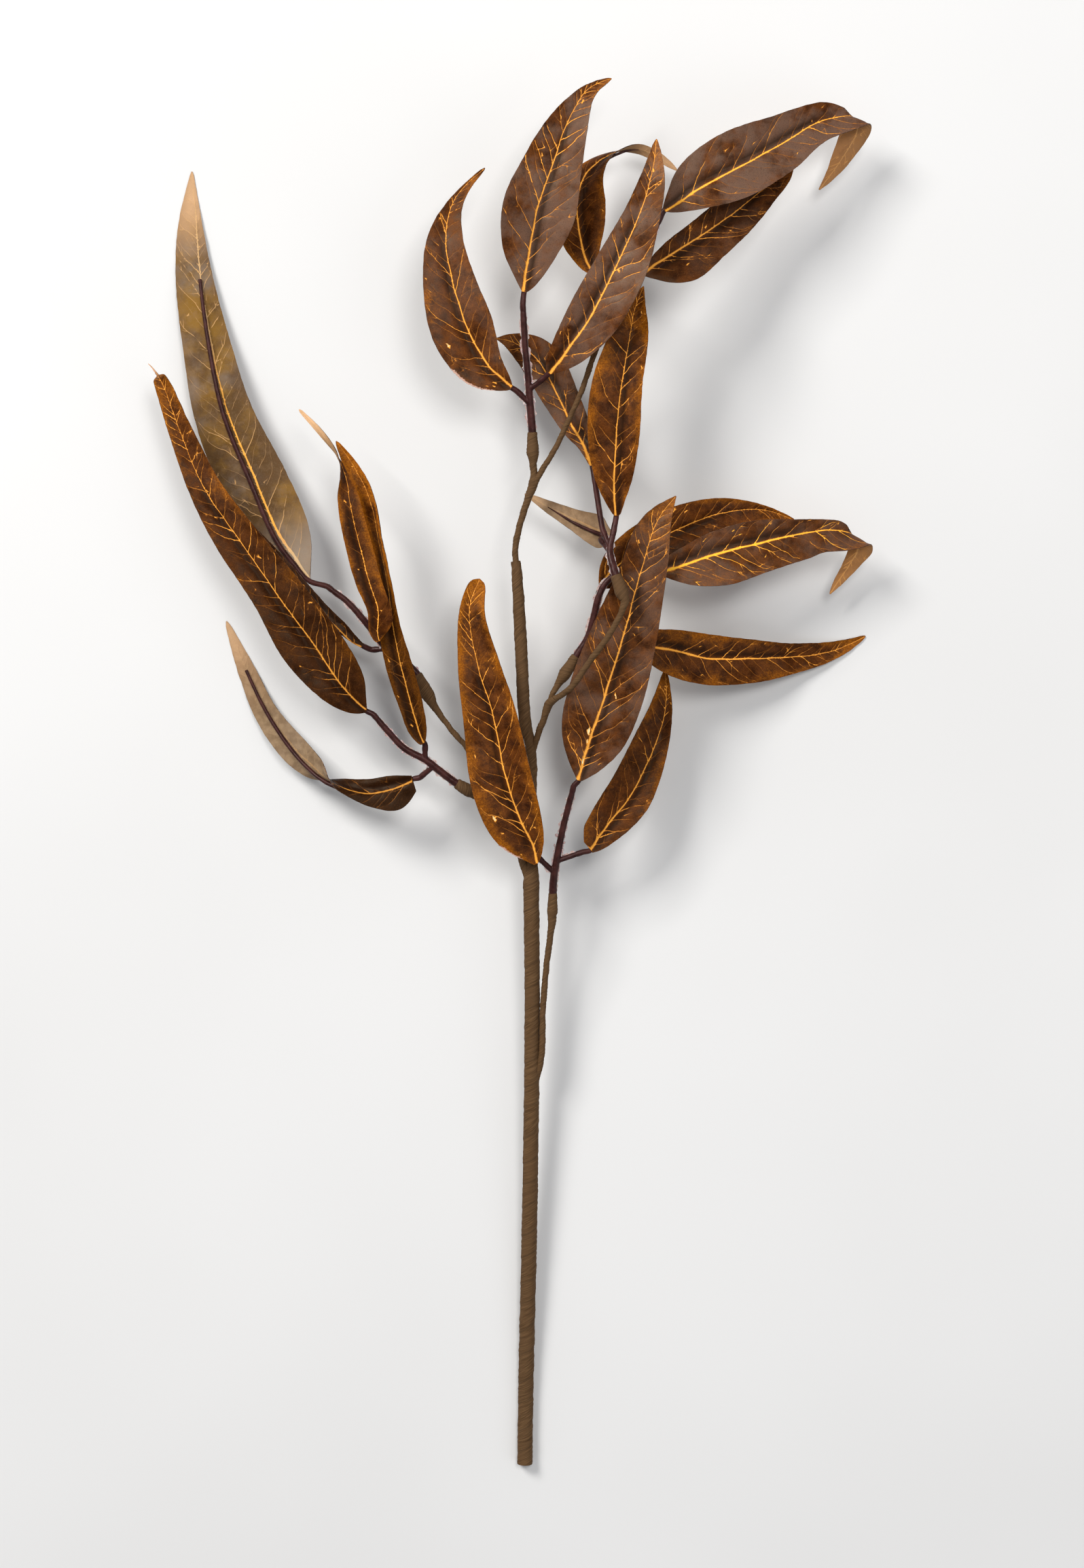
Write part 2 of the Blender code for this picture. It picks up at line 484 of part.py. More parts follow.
# The blade's sheet: five points across each row, raised to a dish and waved along its edges. It is the face
# of a leaf that grows downwards from it by its thickness, so it stays that far above the table.
def blade_mesh(leaf, index):
    points, across, face, widths = leaf_stations(leaf)
    chance = random.Random(index)
    phases = [chance.uniform(0, 2 * math.pi) for side in range(2)]
    turns = [chance.uniform(*WAVE_TURNS) for side in range(2)]
    lift = math.tan(math.radians(leaf["dish"]))
    mesh = bmesh.new()
    grid = []
    for row, point in enumerate(points):
        t = row / (len(points) - 1)
        floor = BLADE_THICKNESS if face[row][2] > 0 else 0.0
        line = []
        for share in BLADE_SHARES:
            side = 0 if share > 0 else 1
            width = widths[row, side]
            wave = WAVE_SHARE * width * math.sin(2 * math.pi * turns[side] * t + phases[side]) * share * share
            height = lift * width * abs(share) ** DISH_POWER + wave
            spot = point + across[row] * share * width + face[row] * height
            spot[2] = max(spot[2], floor)
            line.append(mesh.verts.new(spot * MM))
        grid.append(line)
    for row, (near, far) in enumerate(zip(grid[:-1], grid[1:])):
        for column in range(len(BLADE_SHARES) - 1):
            a, b, c, d = near[column], near[column + 1], far[column + 1], far[column]
            halves = ((a, b, c), (a, c, d)) if (row + column) % 2 else ((a, b, d), (b, c, d))
            for half in halves:
                mesh.faces.new(half)
    return mesh


def build_blade(key, index, fabric):
    blade = add_object("blade_" + key, blade_mesh(LEAVES[key], index), fabric)
    solid = blade.modifiers.new("thickness", "SOLIDIFY")
    solid.thickness = BLADE_THICKNESS * MM
    solid.offset = -1.0


# The rib is bonded under the blade, goes on as a petiole and ends in a sleeve over the stub's pin.
def build_rib(key, joint, way, plastic):
    leaf = LEAVES[key]
    points, across, face, widths = leaf_stations(leaf)
    first, last = (row * ROWS_BETWEEN for row in leaf["rib"])
    points, across, face = (values[first:last + 1] for values in (points, across, face))
    radii = np.linspace(RIB_RADIUS[0], RIB_RADIUS[1], len(points))
    depth = BLADE_THICKNESS + RIB_CLEARANCE + radii * math.cos(math.pi / RIB_SIDES)
    under = points - face * depth[:, None]
    start = joint + GAP * way
    sleeve = joint + SLEEVE_DEPTH * way
    petiole = smooth([start, sleeve, under[0], under[1]], PETIOLE_STEPS)[PETIOLE_STEPS + 1:2 * PETIOLE_STEPS]
    line = np.vstack((start, sleeve, petiole, under))
    radii = [SLEEVE_RADIUS] * 2 + [PETIOLE_RADIUS] * len(petiole) + list(radii)
    sides = np.vstack((np.repeat(across[:1], len(line) - len(across), axis=0), across))
    ways = tangents(line)
    sides = unit(sides - ways * np.sum(sides * ways, axis=1, keepdims=True))
    bore = socket_radius(PIN_RADIUS, RIB_SIDES)
    outline = [(1, bore), (0, bore)] + list(enumerate(radii))
    add_object("rib_" + key, tube_mesh(line, (sides, np.cross(ways, sides)), outline, RIB_SIDES), plastic)


def build_stem():
    tape = make_material("floral tape", (0.115, 0.085, 0.045), 0.85)
    wire = make_material("core wire", (0.35, 0.34, 0.32), 0.4, 1.0)
    plastic = make_material("maroon plastic", (0.05, 0.014, 0.012), 0.35)
    fabric = make_material("printed fabric", (0.075, 0.035, 0.018), 0.6)
    lines = {"trunk": build_trunk(tape, wire)}
    joints = {}
    for key, branch in BRANCHES.items():
        thing, rows, axis = build_branch(key, tape)
        if branch["root"] in lines:
            apply_boolean(thing, root_cutter(lines[branch["root"]], tape), "DIFFERENCE")
        lines[key] = rows
        joints.update(build_sprig(key, rows[-1, :3], axis, plastic))
    for index, key in enumerate(LEAVES):
        build_blade(key, index, fabric)
        build_rib(key, *joints[key], plastic)


clear_scene()
build_stem()
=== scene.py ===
import math
import random

import bpy
import numpy as np
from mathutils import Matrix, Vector, noise
from mathutils.geometry import delaunay_2d_cdt


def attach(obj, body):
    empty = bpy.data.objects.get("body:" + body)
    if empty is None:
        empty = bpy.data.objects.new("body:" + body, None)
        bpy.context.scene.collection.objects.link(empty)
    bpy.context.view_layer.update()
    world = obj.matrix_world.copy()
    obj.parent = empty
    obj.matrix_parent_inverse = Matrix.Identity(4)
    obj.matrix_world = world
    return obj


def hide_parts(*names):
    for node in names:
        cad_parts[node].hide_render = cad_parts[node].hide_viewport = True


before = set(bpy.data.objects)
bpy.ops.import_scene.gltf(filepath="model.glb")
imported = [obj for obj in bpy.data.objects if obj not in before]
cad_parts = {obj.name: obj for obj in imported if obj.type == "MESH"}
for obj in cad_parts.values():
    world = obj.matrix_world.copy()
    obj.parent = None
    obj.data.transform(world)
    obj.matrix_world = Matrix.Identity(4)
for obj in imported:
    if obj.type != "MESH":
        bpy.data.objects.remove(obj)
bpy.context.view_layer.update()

# the tables are in millimetres from the stem's lowest fork; these values are shared by several pieces
mm = 0.001
boxCentre = np.array((-15.2, 54.4, 0.0))
tableTop = 0.03  # nothing goes lower than this
curveSteps = 12  # stations from one row to the next
bladeThick = 0.45
stubRadius = 1.35


# a curve through every row, with each row's other values carried along it
def curveThrough(rows, steps):
    rows = np.array(rows, dtype=float)
    spans = np.sqrt(np.linalg.norm(np.diff(rows[:, :3], axis=0), axis=1))[:, None]
    slopes = np.diff(rows, axis=0) / spans
    bends = np.empty_like(rows)
    bends[1:-1] = (slopes[:-1] * spans[1:] + slopes[1:] * spans[:-1]) / (spans[:-1] + spans[1:])
    bends[0] = 1.5 * slopes[0] - 0.5 * bends[1] if len(rows) > 2 else slopes[0]
    bends[-1] = 1.5 * slopes[-1] - 0.5 * bends[-2] if len(rows) > 2 else slopes[-1]
    stations = []
    for start in range(len(rows) - 1):
        for t in np.arange(steps) / steps:
            near = (1 + 2 * t) * (1 - t) ** 2 * rows[start] + t * (1 - t) ** 2 * spans[start] * bends[start]
            far = t * t * (3 - 2 * t) * rows[start + 1] + t * t * (t - 1) * spans[start] * bends[start + 1]
            stations.append(near + far)
    stations.append(rows[-1])
    return np.array(stations)


def unit(vectors):
    return vectors / np.linalg.norm(vectors, axis=-1, keepdims=True)


def tangentsOf(points):
    ways = unit(np.diff(points, axis=0))
    return unit(np.vstack((ways[:1], ways[:-1] + ways[1:], ways[-1:])))


def lengthsAlong(points):
    return np.concatenate(([0.0], np.cumsum(np.linalg.norm(np.diff(points, axis=0), axis=1))))


# rows respaced evenly, every so many millimetres
def evenRows(rows, spacing):
    rows = curveThrough(rows, curveSteps)
    along = lengthsAlong(rows[:, :3])
    places = np.linspace(0, along[-1], max(3, int(round(along[-1] / spacing)) + 1))
    return np.stack([np.interp(places, along, column) for column in rows.T], axis=1)


# directions out from a line, all the way round it, carried along it without twist
def spokesRound(points, around):
    ways = tangentsOf(points)
    side = np.array((1.0, 0.0, 0.0))
    sides = []
    for way in ways:
        side = unit(side - way * np.dot(side, way))
        sides.append(side)
    sides = np.array(sides)
    ups = np.cross(ways, sides)
    angles = np.linspace(0, 2 * math.pi, around + 1)
    return np.cos(angles)[None, :, None] * sides[:, None] + np.sin(angles)[None, :, None] * ups[:, None]


# rings round a line; bulge is what is added to each radius
def ringsRound(rows, around, bulge=0.0):
    reach = np.repeat(rows[:, 3:4], around + 1, axis=1) + bulge
    rings = rows[:, None, :3] + spokesRound(rows[:, :3], around) * reach[:, :, None]
    rings[:, :, 2] = np.maximum(rings[:, :, 2], tableTop)
    rings[:, -1] = rings[:, 0]
    return rings


def smoothStep(value, low, high):
    t = np.clip((value - low) / (high - low), 0, 1)
    return t * t * (3 - 2 * t)


def noiseAt(x, y, z):
    return noise.noise(Vector((x, y, z)))


def roughnessOf(rings, scale, seed):
    spots = rings.reshape(-1, 3) * scale + seed
    return np.array([noiseAt(*spot) for spot in spots]).reshape(rings.shape[:2])


def deselectAll():
    for thing in bpy.context.selected_objects:
        thing.select_set(False)


def applyModifier(thing, kind, **settings):
    deselectAll()
    thing.select_set(True)
    bpy.context.view_layer.objects.active = thing
    modifier = thing.modifiers.new(kind.lower(), kind)
    for name, value in settings.items():
        setattr(modifier, name, value)
    bpy.ops.object.modifier_apply(modifier=modifier.name)


def finishPiece(thing, material, slotName, *replaced):
    if material is not None:
        thing.data.materials.clear()
        thing.data.materials.append(material)
    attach(thing, "root")
    if replaced:
        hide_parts(*replaced)


def joinPieces(things, name):
    deselectAll()
    for thing in things:
        thing.select_set(True)
    bpy.context.view_layer.objects.active = things[0]
    bpy.ops.object.join()
    things[0].name = name
    return things[0]


# a flat grid is added and its columns are bent round a line of rings, then closed along its seam and ends
def tubeFromRings(name, rings, unwrapped=None):
    if unwrapped is None:
        unwrapped = np.zeros((*rings.shape[:2], 2))
    deselectAll()
    bpy.ops.mesh.primitive_grid_add(x_subdivisions=rings.shape[1] - 1, y_subdivisions=rings.shape[0] - 1,
                                    size=1, location=(0, 0, 0))
    tube = bpy.context.object
    tube.name = name
    mesh = tube.data
    mesh.vertices.foreach_set("co", ((rings.reshape(-1, 3) - boxCentre) * mm).ravel())
    corners = np.empty(len(mesh.loops), dtype=np.int32)
    mesh.loops.foreach_get("vertex_index", corners)
    mesh.uv_layers[0].name = "wrapPlace"
    mesh.uv_layers[0].data.foreach_set("uv", unwrapped.reshape(-1, 2)[corners].ravel())
    mesh.update()
    bpy.ops.object.mode_set(mode="EDIT")
    bpy.ops.mesh.select_all(action="SELECT")
    bpy.ops.mesh.remove_doubles(threshold=0.000002)
    bpy.ops.mesh.fill_holes(sides=0)
    bpy.ops.mesh.select_all(action="SELECT")
    bpy.ops.mesh.normals_make_consistent(inside=False)
    bpy.ops.object.mode_set(mode="OBJECT")
    bpy.ops.object.shade_smooth_by_angle(angle=math.radians(48))
    return tube


# small helpers for node trees; each works on the material begun last
begun = {}


def withAlpha(value):
    return (*value, 1) if isinstance(value, tuple) else value


def newMaterial(name, roughness, **sockets):
    material = bpy.data.materials.new(name)
    material.use_nodes = True
    begun["tree"] = material.node_tree
    begun["shader"] = material.node_tree.nodes["Principled BSDF"]
    begun["place"] = addNode("ShaderNodeTexCoord").outputs["Object"]
    begun["shader"].inputs["Roughness"].default_value = roughness
    for socket, value in sockets.items():
        begun["shader"].inputs[socket.replace("_", " ")].default_value = withAlpha(value)
    return material


def addNode(kind, inputs=None, **settings):
    made = begun["tree"].nodes.new(kind)
    for name, value in settings.items():
        setattr(made, name, value)
    for socket, value in (inputs or {}).items():
        if isinstance(value, bpy.types.NodeSocket):
            begun["tree"].links.new(value, made.inputs[socket])
        else:
            made.inputs[socket].default_value = value
    return made


def feed(socket, value):
    begun["tree"].links.new(value, begun["shader"].inputs[socket])


def calc(operation, first, second=0.0, clamp=False):
    return addNode("ShaderNodeMath", {0: first, 1: second}, operation=operation, use_clamp=clamp).outputs[0]


def times(first, second, clamp=False):
    return calc("MULTIPLY", first, second, clamp)


def plus(first, second):
    return calc("ADD", first, second)


def minus(first, second):
    return calc("SUBTRACT", first, second)


def blend(factor, first, second):
    inputs = {0: factor, 6: withAlpha(first), 7: withAlpha(second)}
    return addNode("ShaderNodeMix", inputs, data_type="RGBA").outputs[2]


def spread(value, low, high, outLow=0.0, outHigh=1.0):
    return addNode("ShaderNodeMapRange", {0: value, 1: low, 2: high, 3: outLow, 4: outHigh},
                   interpolation_type="SMOOTHSTEP").outputs[0]


def grain(scale, detail, rough, stretch=None, vector=None):
    vector = vector or begun["place"]
    if stretch:
        vector = addNode("ShaderNodeMapping", {0: vector, 3: stretch}).outputs[0]
    inputs = {"Vector": vector, "Scale": scale, "Detail": detail, "Roughness": rough}
    return addNode("ShaderNodeTexNoise", inputs).outputs["Fac"]


def bump(*layers):
    inputs = {}
    for height, strength, distance in layers:
        inputs.update(Height=height, Strength=strength, Distance=distance)
        inputs["Normal"] = addNode("ShaderNodeBump", inputs).outputs[0]
    feed("Normal", inputs["Normal"])


def painted(name):
    return addNode("ShaderNodeAttribute", attribute_name=name).outputs["Fac"]


# rows of x, y, z and radius along each wire; branch a starts under the trunk's wrap
trunkRows = [
    (-9, -300, 3.6, 3.9),
    (-8.4, -258, 3.6, 3.9),
    (-7, -195, 8, 3.9),
    (-5.5, -110, 15, 3.85),
    (-5, -45, 20.5, 3.85),
    (-5.4, 0, 24, 3.9),
    (-5.4, 10, 24.6, 4.0),
    (-5, 20, 25.2, 2.7),
    (-5.2, 50, 27, 2.5),
    (-5.6, 78, 29, 2.6),
    (-8.6, 93, 30, 3.0),
    (-10.2, 124, 32, 3.05),
    (-11.6, 151, 34, 2.9),
    (-12.6, 168, 35, 2.5),
    (-13.1, 172.5, 35.3, 2.3),
]

branches = {
    "a": dict(collar=(5.5, 5.5, 31), radius=2.45, path=[
        (-5.5, -103, 15.4, 1.0), (-3.2, -94, 16.8, 1.4), (-0.9, -85, 18.8, 1.5), (0.1, -76, 20.1, 1.5),
        (0.4, -57, 21.8, 1.5), (2.2, -34, 24.2, 1.5), (4.6, -14, 28, 1.6), (5, -9, 28.8, 2.1)]),
    "b": dict(collar=(-43, 61, 31), radius=3.0, path=[
        (-5.4, 6, 24.2, 1.9), (-9.4, 20, 25, 2.1), (-14, 34, 26, 1.9), (-20, 46, 27.5, 1.8),
        (-25, 51, 28.3, 2.0), (-30, 53.4, 29, 1.7), (-33.6, 55.2, 29.6, 2.3)]),
    "c": dict(collar=(-62.8, 115.6, 28), radius=3.1, path=[
        (-23.5, 50.5, 28.3, 1.3), (-29, 64, 28.6, 1.3), (-38, 79, 28.4, 1.35), (-44.2, 86, 28, 1.35),
        (-49.6, 93, 28, 1.35), (-54.6, 100.4, 28, 2.1)]),
    "d": dict(collar=(-4.8, 236.4, 43), radius=2.7, seat=3.0, path=[
        (-13.1, 173, 35.4, 1.5), (-13.3, 178.6, 36, 1.5), (-11.8, 187.4, 37.3, 1.5),
        (-9.7, 195, 38.4, 1.6), (-7, 203.4, 39.6, 1.7), (-4.2, 211.5, 40.6, 2.2), (-4, 216, 41.2, 1.7),
        (-4.4, 221, 41.8, 1.8)]),
    "e": dict(collar=(38.6, 302.8, 46.8), radius=2.9, path=[
        (-4.4, 209, 40.4, 1.3), (-1.6, 215, 42.4, 1.3), (2.7, 222, 43.6, 1.3), (8.4, 232, 44.4, 1.3),
        (12.8, 241.6, 45, 1.3), (16.8, 250.2, 45.4, 1.3), (21, 260.6, 45.8, 1.3), (24.5, 271.3, 46, 1.3),
        (31.5, 289.5, 46.4, 2.0)]),
    "f": dict(collar=(36.1, 166.6, 57.6), radius=3.1, path=[
        (-5.2, 75.5, 28.7, 1.5), (-1.6, 87, 32, 1.55), (1, 94, 35.2, 1.6), (3.7, 102, 38.8, 2.1),
        (9, 106, 44, 1.4), (15.3, 111.6, 49.4, 1.4), (21.3, 120.4, 52.4, 1.4), (26.5, 128, 54.8, 1.4),
        (32, 135.4, 56.6, 1.4), (36.2, 142.6, 57.8, 1.4), (39.4, 149.4, 58.4, 1.5),
        (40.6, 154.2, 58.6, 2.1)]),
    "g": dict(collar=(17, 125.4, 40), radius=2.85, path=[
        (3.6, 101, 38.4, 1.3), (5.6, 107.4, 39.8, 1.3), (8.6, 112.4, 40, 1.9)]),
}


# khaki crepe tape: streaks along the winding, painted shade along the step of each overlap and a painted
# highlight on the raised crepe wrinkles
def makeTape():
    material = newMaterial("floralTape", 0.78, Specular_IOR_Level=0.13)
    winding = addNode("ShaderNodeUVMap", uv_map="wrapPlace").outputs[0]
    overlap = calc("FRACT", addNode("ShaderNodeSeparateXYZ", {0: winding}).outputs[0])
    streaks = grain(1.0, 4.0, 0.62, (26.0, 1.8, 1.0), winding)
    crepe = grain(1.0, 3.0, 0.7, (9.0, 30.0, 1.0), winding)
    patches = grain(90.0, 3.0, 0.55)
    fibres = grain(1900.0, 2.0, 0.6)
    # painted shade: a dark line on the step where each turn of tape laps over the last
    ledgeShade = minus(1.0, spread(overlap, 0.0, 0.09))
    colour = blend(spread(streaks, 0.36, 0.68), (0.066, 0.033, 0.0125), (0.142, 0.078, 0.034))
    colour = blend(spread(patches, 0.4, 0.66, 0.0, 0.6), colour, (0.1, 0.053, 0.023))
    # painted highlight: paler where the crepe wrinkles stand up in the bump
    colour = blend(spread(crepe, 0.5, 0.8, 0.0, 0.25), colour, (0.175, 0.104, 0.053))
    colour = blend(spread(fibres, 0.56, 0.75, 0.0, 0.3), colour, (0.07, 0.044, 0.025))
    colour = blend(times(ledgeShade, 0.35), colour, (0.05, 0.031, 0.017))
    feed("Base Color", colour)
    bump((plus(times(streaks, 0.7), times(crepe, 0.5)), 0.4, 0.00025), (fibres, 0.25, 0.0001))
    return material


# dull drawn wire, bare only at the cut end
def makeWire():
    material = newMaterial("coreWire", 0.42, Metallic=1.0)
    drawn = grain(1.0, 3.0, 0.6, (2600.0, 120.0, 2600.0))
    rust = grain(620.0, 3.0, 0.6)
    colour = blend(spread(drawn, 0.3, 0.7), (0.25, 0.24, 0.23), (0.44, 0.43, 0.41))
    feed("Base Color", blend(spread(rust, 0.56, 0.72, 0.0, 0.7), colour, (0.16, 0.075, 0.035)))
    bump((drawn, 0.3, 0.0001))
    return material


# each winding: pitch of its overlaps, height of a ledge, depth of wrinkles and lumps, and its mesh
tapeLook = {
    "trunk": {"pitch": 13.0, "ledge": 0.2, "wrinkle": 0.22, "lumps": 0.2, "around": 40, "spacing": 0.5},
    "branch": {"pitch": 7.6, "ledge": 0.18, "wrinkle": 0.2, "lumps": 0.22, "around": 28, "spacing": 0.4},
}
trunkLook = {
    "mouth": ((1.45, 5.0), (1.45, 0.4), (2.25, 0.0)),  # radius and depth of each ring that turns in
    "coreTop": 150.0,
    "coreEvery": 12,
    "coreRadius": 1.4,
}
# the collar's swelling: how far along it, and the share of its radius
collarSwell = ((0.14, 0.86), (0.3, 1.07), (0.5, 1.04), (0.75, 0.93), (0.97, 0.84), (1.0, 0.8))


# what the winding adds to each radius, and where each point lies on the tape
def windTape(rows, look, seed):
    along = lengthsAlong(rows[:, :3])
    around = look["around"]
    turn = np.linspace(0, 1, around + 1)
    drift = np.array([0.4 * noiseAt(place / 21.0, seed, 0.4) for place in along])
    phase = along[:, None] / look["pitch"] + drift[:, None] - turn[None, :]
    step = phase - np.floor(phase)
    ledge = look["ledge"] * (smoothStep(step, 0.0, 0.1) - step)
    skin = rows[:, None, :3] + rows[:, None, 3:4] * spokesRound(rows[:, :3], around)
    lumps = roughnessOf(skin, 0.22, seed)
    folds = np.sin(2 * math.pi * (phase * 4.0 + 0.45 * lumps)) * (0.4 + lumps)
    bulge = ledge + look["lumps"] * lumps + look["wrinkle"] * 0.5 * folds
    bulge[:, -1] = bulge[:, 0]
    unwrapped = np.stack((phase, np.repeat(along[:, None] / 10.0, around + 1, axis=1)), axis=2)
    return bulge, unwrapped


# the trunk: thick wrap with a turned-in mouth at the cut end, where the wire shows
def buildTrunk(tape, wire):
    look = tapeLook["trunk"]
    rows = evenRows(trunkRows, look["spacing"])
    bulge, unwrapped = windTape(rows, look, 3.0)
    spokes = spokesRound(rows[:, :3], look["around"])[0]
    way = unit(rows[1, :3] - rows[0, :3])
    turnedIn = [rows[0, :3] + way * depth + spokes * radius for radius, depth in trunkLook["mouth"]]
    rings = np.concatenate((turnedIn, ringsRound(rows, look["around"], bulge)))
    unwrapped = np.concatenate([unwrapped[:1]] * len(turnedIn) + [unwrapped])
    finishPiece(tubeFromRings("trunkWrap", rings, unwrapped), tape, "floral_tape", "trunk_wrap")
    rows = rows[rows[:, 1] < trunkLook["coreTop"]][::trunkLook["coreEvery"]]
    rows[:, 3] = trunkLook["coreRadius"]
    core = tubeFromRings("trunkCore", ringsRound(rows, 20))
    applyModifier(core, "BEVEL", width=0.0002, segments=2, limit_method="ANGLE")
    finishPiece(core, wire, "core_wire", "trunk_wire")


# one taped branch with its collar; returns where the collar ends and which way it points
def buildBranch(key, tape, seed):
    branch = branches[key]
    rows = np.array(branch["path"], dtype=float)
    collarEnd = np.array(branch["collar"], dtype=float)
    reach = collarEnd - rows[-1, :3]
    rows = np.vstack((rows, [(*(rows[-1, :3] + reach * share), branch["radius"] * grow)
                             for share, grow in collarSwell]))
    if "seat" in branch:  # its foot stands this deep in the trunk's socket
        foot = rows[0, :3] - branch["seat"] * unit(rows[1, :3] - rows[0, :3])
        rows = np.vstack(((*foot, rows[0, 3]), rows))
    look = tapeLook["branch"]
    rows = evenRows(rows, look["spacing"])
    bulge, unwrapped = windTape(rows, look, seed)
    tube = tubeFromRings("wire" + key.upper(), ringsRound(rows, look["around"], bulge), unwrapped)
    finishPiece(tube, tape, "floral_tape", "branch_" + key)
    return collarEnd, unit(reach)


# each sprig: the leaf at its end, where its stubs start and end, and its main line; beads are big beads
# of flash on either side, by place along the line and radius
sprigs = {
    "a": dict(end="a3", stubs=dict(a1=((6.2, 16, 32.8), (0.6, 21.6, 35)),
              a2=((7.6, 22, 33.6), (17, 25.2, 33))),
              beads={-1: [(0.4, 0.5), (0.46, 0.75), (0.56, 0.85)], 1: [(0.43, 0.6), (0.5, 0.5)]}, path=[
        (6, 14, 32.4), (7.4, 22.6, 33.8), (9.4, 33.6, 35.4), (11.6, 43.6, 37), (15, 57, 39.4)]),
    "b": dict(end="b3", stubs=dict(b1=((-54.4, 69.8, 32.4), (-58.6, 66.2, 30.8)),
              b2=((-58.6, 73.2, 33), (-58.6, 77.2, 34.2))),
              beads={-1: [(0.5, 0.5), (0.6, 0.6), (0.72, 0.5)], 1: [(0.35, 0.5)]}, path=[
        (-50.4, 66.6, 32), (-58.4, 73, 33), (-69, 79, 34.2), (-77.4, 88, 35.4), (-82, 93.4, 36.2)]),
    "c": dict(end="c1", stubs=dict(c2=((-82.4, 134, 28), (-82.9, 134.6, 33)),
              c3=((-76.6, 128.6, 28), (-81.6, 128.2, 26.6))), path=[
        (-71.6, 124.2, 28), (-81, 132.2, 28), (-87.4, 140.6, 27.8), (-97.2, 151.8, 27.2),
        (-104.6, 157.4, 26.6)]),
    "d": dict(end="d3", stubs=dict(d1=((-6.2, 250.6, 44.4), (-9.6, 253.8, 45.4)),
              d2=((-6.4, 257, 45), (-2, 260.4, 46.8))), path=[
        (-5.4, 244, 43.8), (-6.1, 252.8, 44.6), (-6.8, 262.4, 45.4), (-8.2, 277, 46.6), (-9.2, 294.6, 48)]),
    "e": dict(end="e2", stubs=dict(e1=((43.6, 311, 47), (38.2, 311.6, 45.4)),
              e3=((45.6, 315, 47), (47.6, 314, 50))), path=[
        (44.2, 312.4, 47), (51, 326.4, 47), (56.2, 337.2, 46.8)]),
    "f": dict(end="f2", stubs=dict(f1=((33.6, 179.4, 53.2), (31.2, 185.4, 50)),
              f3=((33.7, 177.4, 54), (30.8, 181.2, 49.4))), path=[
        (35, 170.6, 56.6), (33.8, 175, 55), (33.5, 180.2, 53), (34.7, 185.6, 51.6)]),
    "g": dict(end="g2", stubs=dict(g1=((26.2, 147, 41.8), (27.2, 151.6, 39)),
              g3=((23.2, 135.8, 40.8), (27.6, 134.8, 38.6))), path=[
        (22.9, 134.8, 40.6), (25.6, 144.6, 41.6), (27.8, 154.2, 42.4), (30.8, 161, 42.6),
        (34.6, 165, 42.4)]),
}


# dark maroon moulded plastic, satin, with a dusty bloom and faint flow lines
def makePlastic():
    material = newMaterial("maroonPlastic", 0.38, Specular_IOR_Level=0.24,
                           Specular_Tint=(1.0, 0.78, 0.74))
    clouds = grain(160.0, 3.0, 0.6)
    specks = grain(1500.0, 2.0, 0.6)
    colour = blend(spread(clouds, 0.35, 0.68), (0.022, 0.0056, 0.0047), (0.05, 0.0138, 0.0115))
    feed("Base Color", blend(spread(specks, 0.58, 0.72, 0.0, 0.4), colour, (0.09, 0.036, 0.027)))
    feed("Roughness", spread(clouds, 0.3, 0.7, 0.34, 0.5))
    bump((clouds, 0.35, 0.0004), (specks, 0.2, 0.00008))
    return material


# thin film and beads of flash left by the mould, pinkish and half clear
def makeFlash():
    material = newMaterial("mouldFlash", 0.32, Specular_IOR_Level=0.5, Transmission_Weight=0.35,
                           Subsurface_Weight=0.3, Subsurface_Scale=0.001, IOR=1.46)
    clouds = grain(700.0, 3.0, 0.6)
    feed("Base Color", blend(spread(clouds, 0.35, 0.68), (0.5, 0.32, 0.3), (0.82, 0.66, 0.62)))
    bump((clouds, 0.4, 0.0003))
    return material


sprigLook = {
    "seat": 6.4,  # how deep the stem stands in the collar
    "lead": 0.6,
    "radius": (1.75, 1.45),
    "swell": 0.25,
    "runOn": 1.1,  # how far each end goes on into its sleeve
    "endRadius": 1.25,
    "stubSwell": (1.15, 1.04, 1.0, 0.93),
    "pin": (0.7, 3.0),  # radius and length
    "voxel": 0.26,
}
flashLook = {
    "widest": 0.85,
    "thick": 0.1,
    "step": 0.3,
    "tuckedIn": 0.35,
    "beads": 4,
    "beadRadius": (0.22, 0.45),
    "beadSquash": ((0.8, 1.3), (0.8, 1.3), (0.55, 0.9)),
    "dent": 0.12,
    "shortest": 12,  # stations below which a stub has none
}


# a plain tube for the moulded parts, rough by a few hundredths of a millimetre
def makeMouldedTube(name, rows, around, spacing, seed):
    rows = evenRows(rows, spacing)
    lumps = 0.12 * roughnessOf(ringsRound(rows, around), 0.45, seed)
    lumps[:, -1] = lumps[:, 0]
    return tubeFromRings(name, ringsRound(rows, around, lumps))


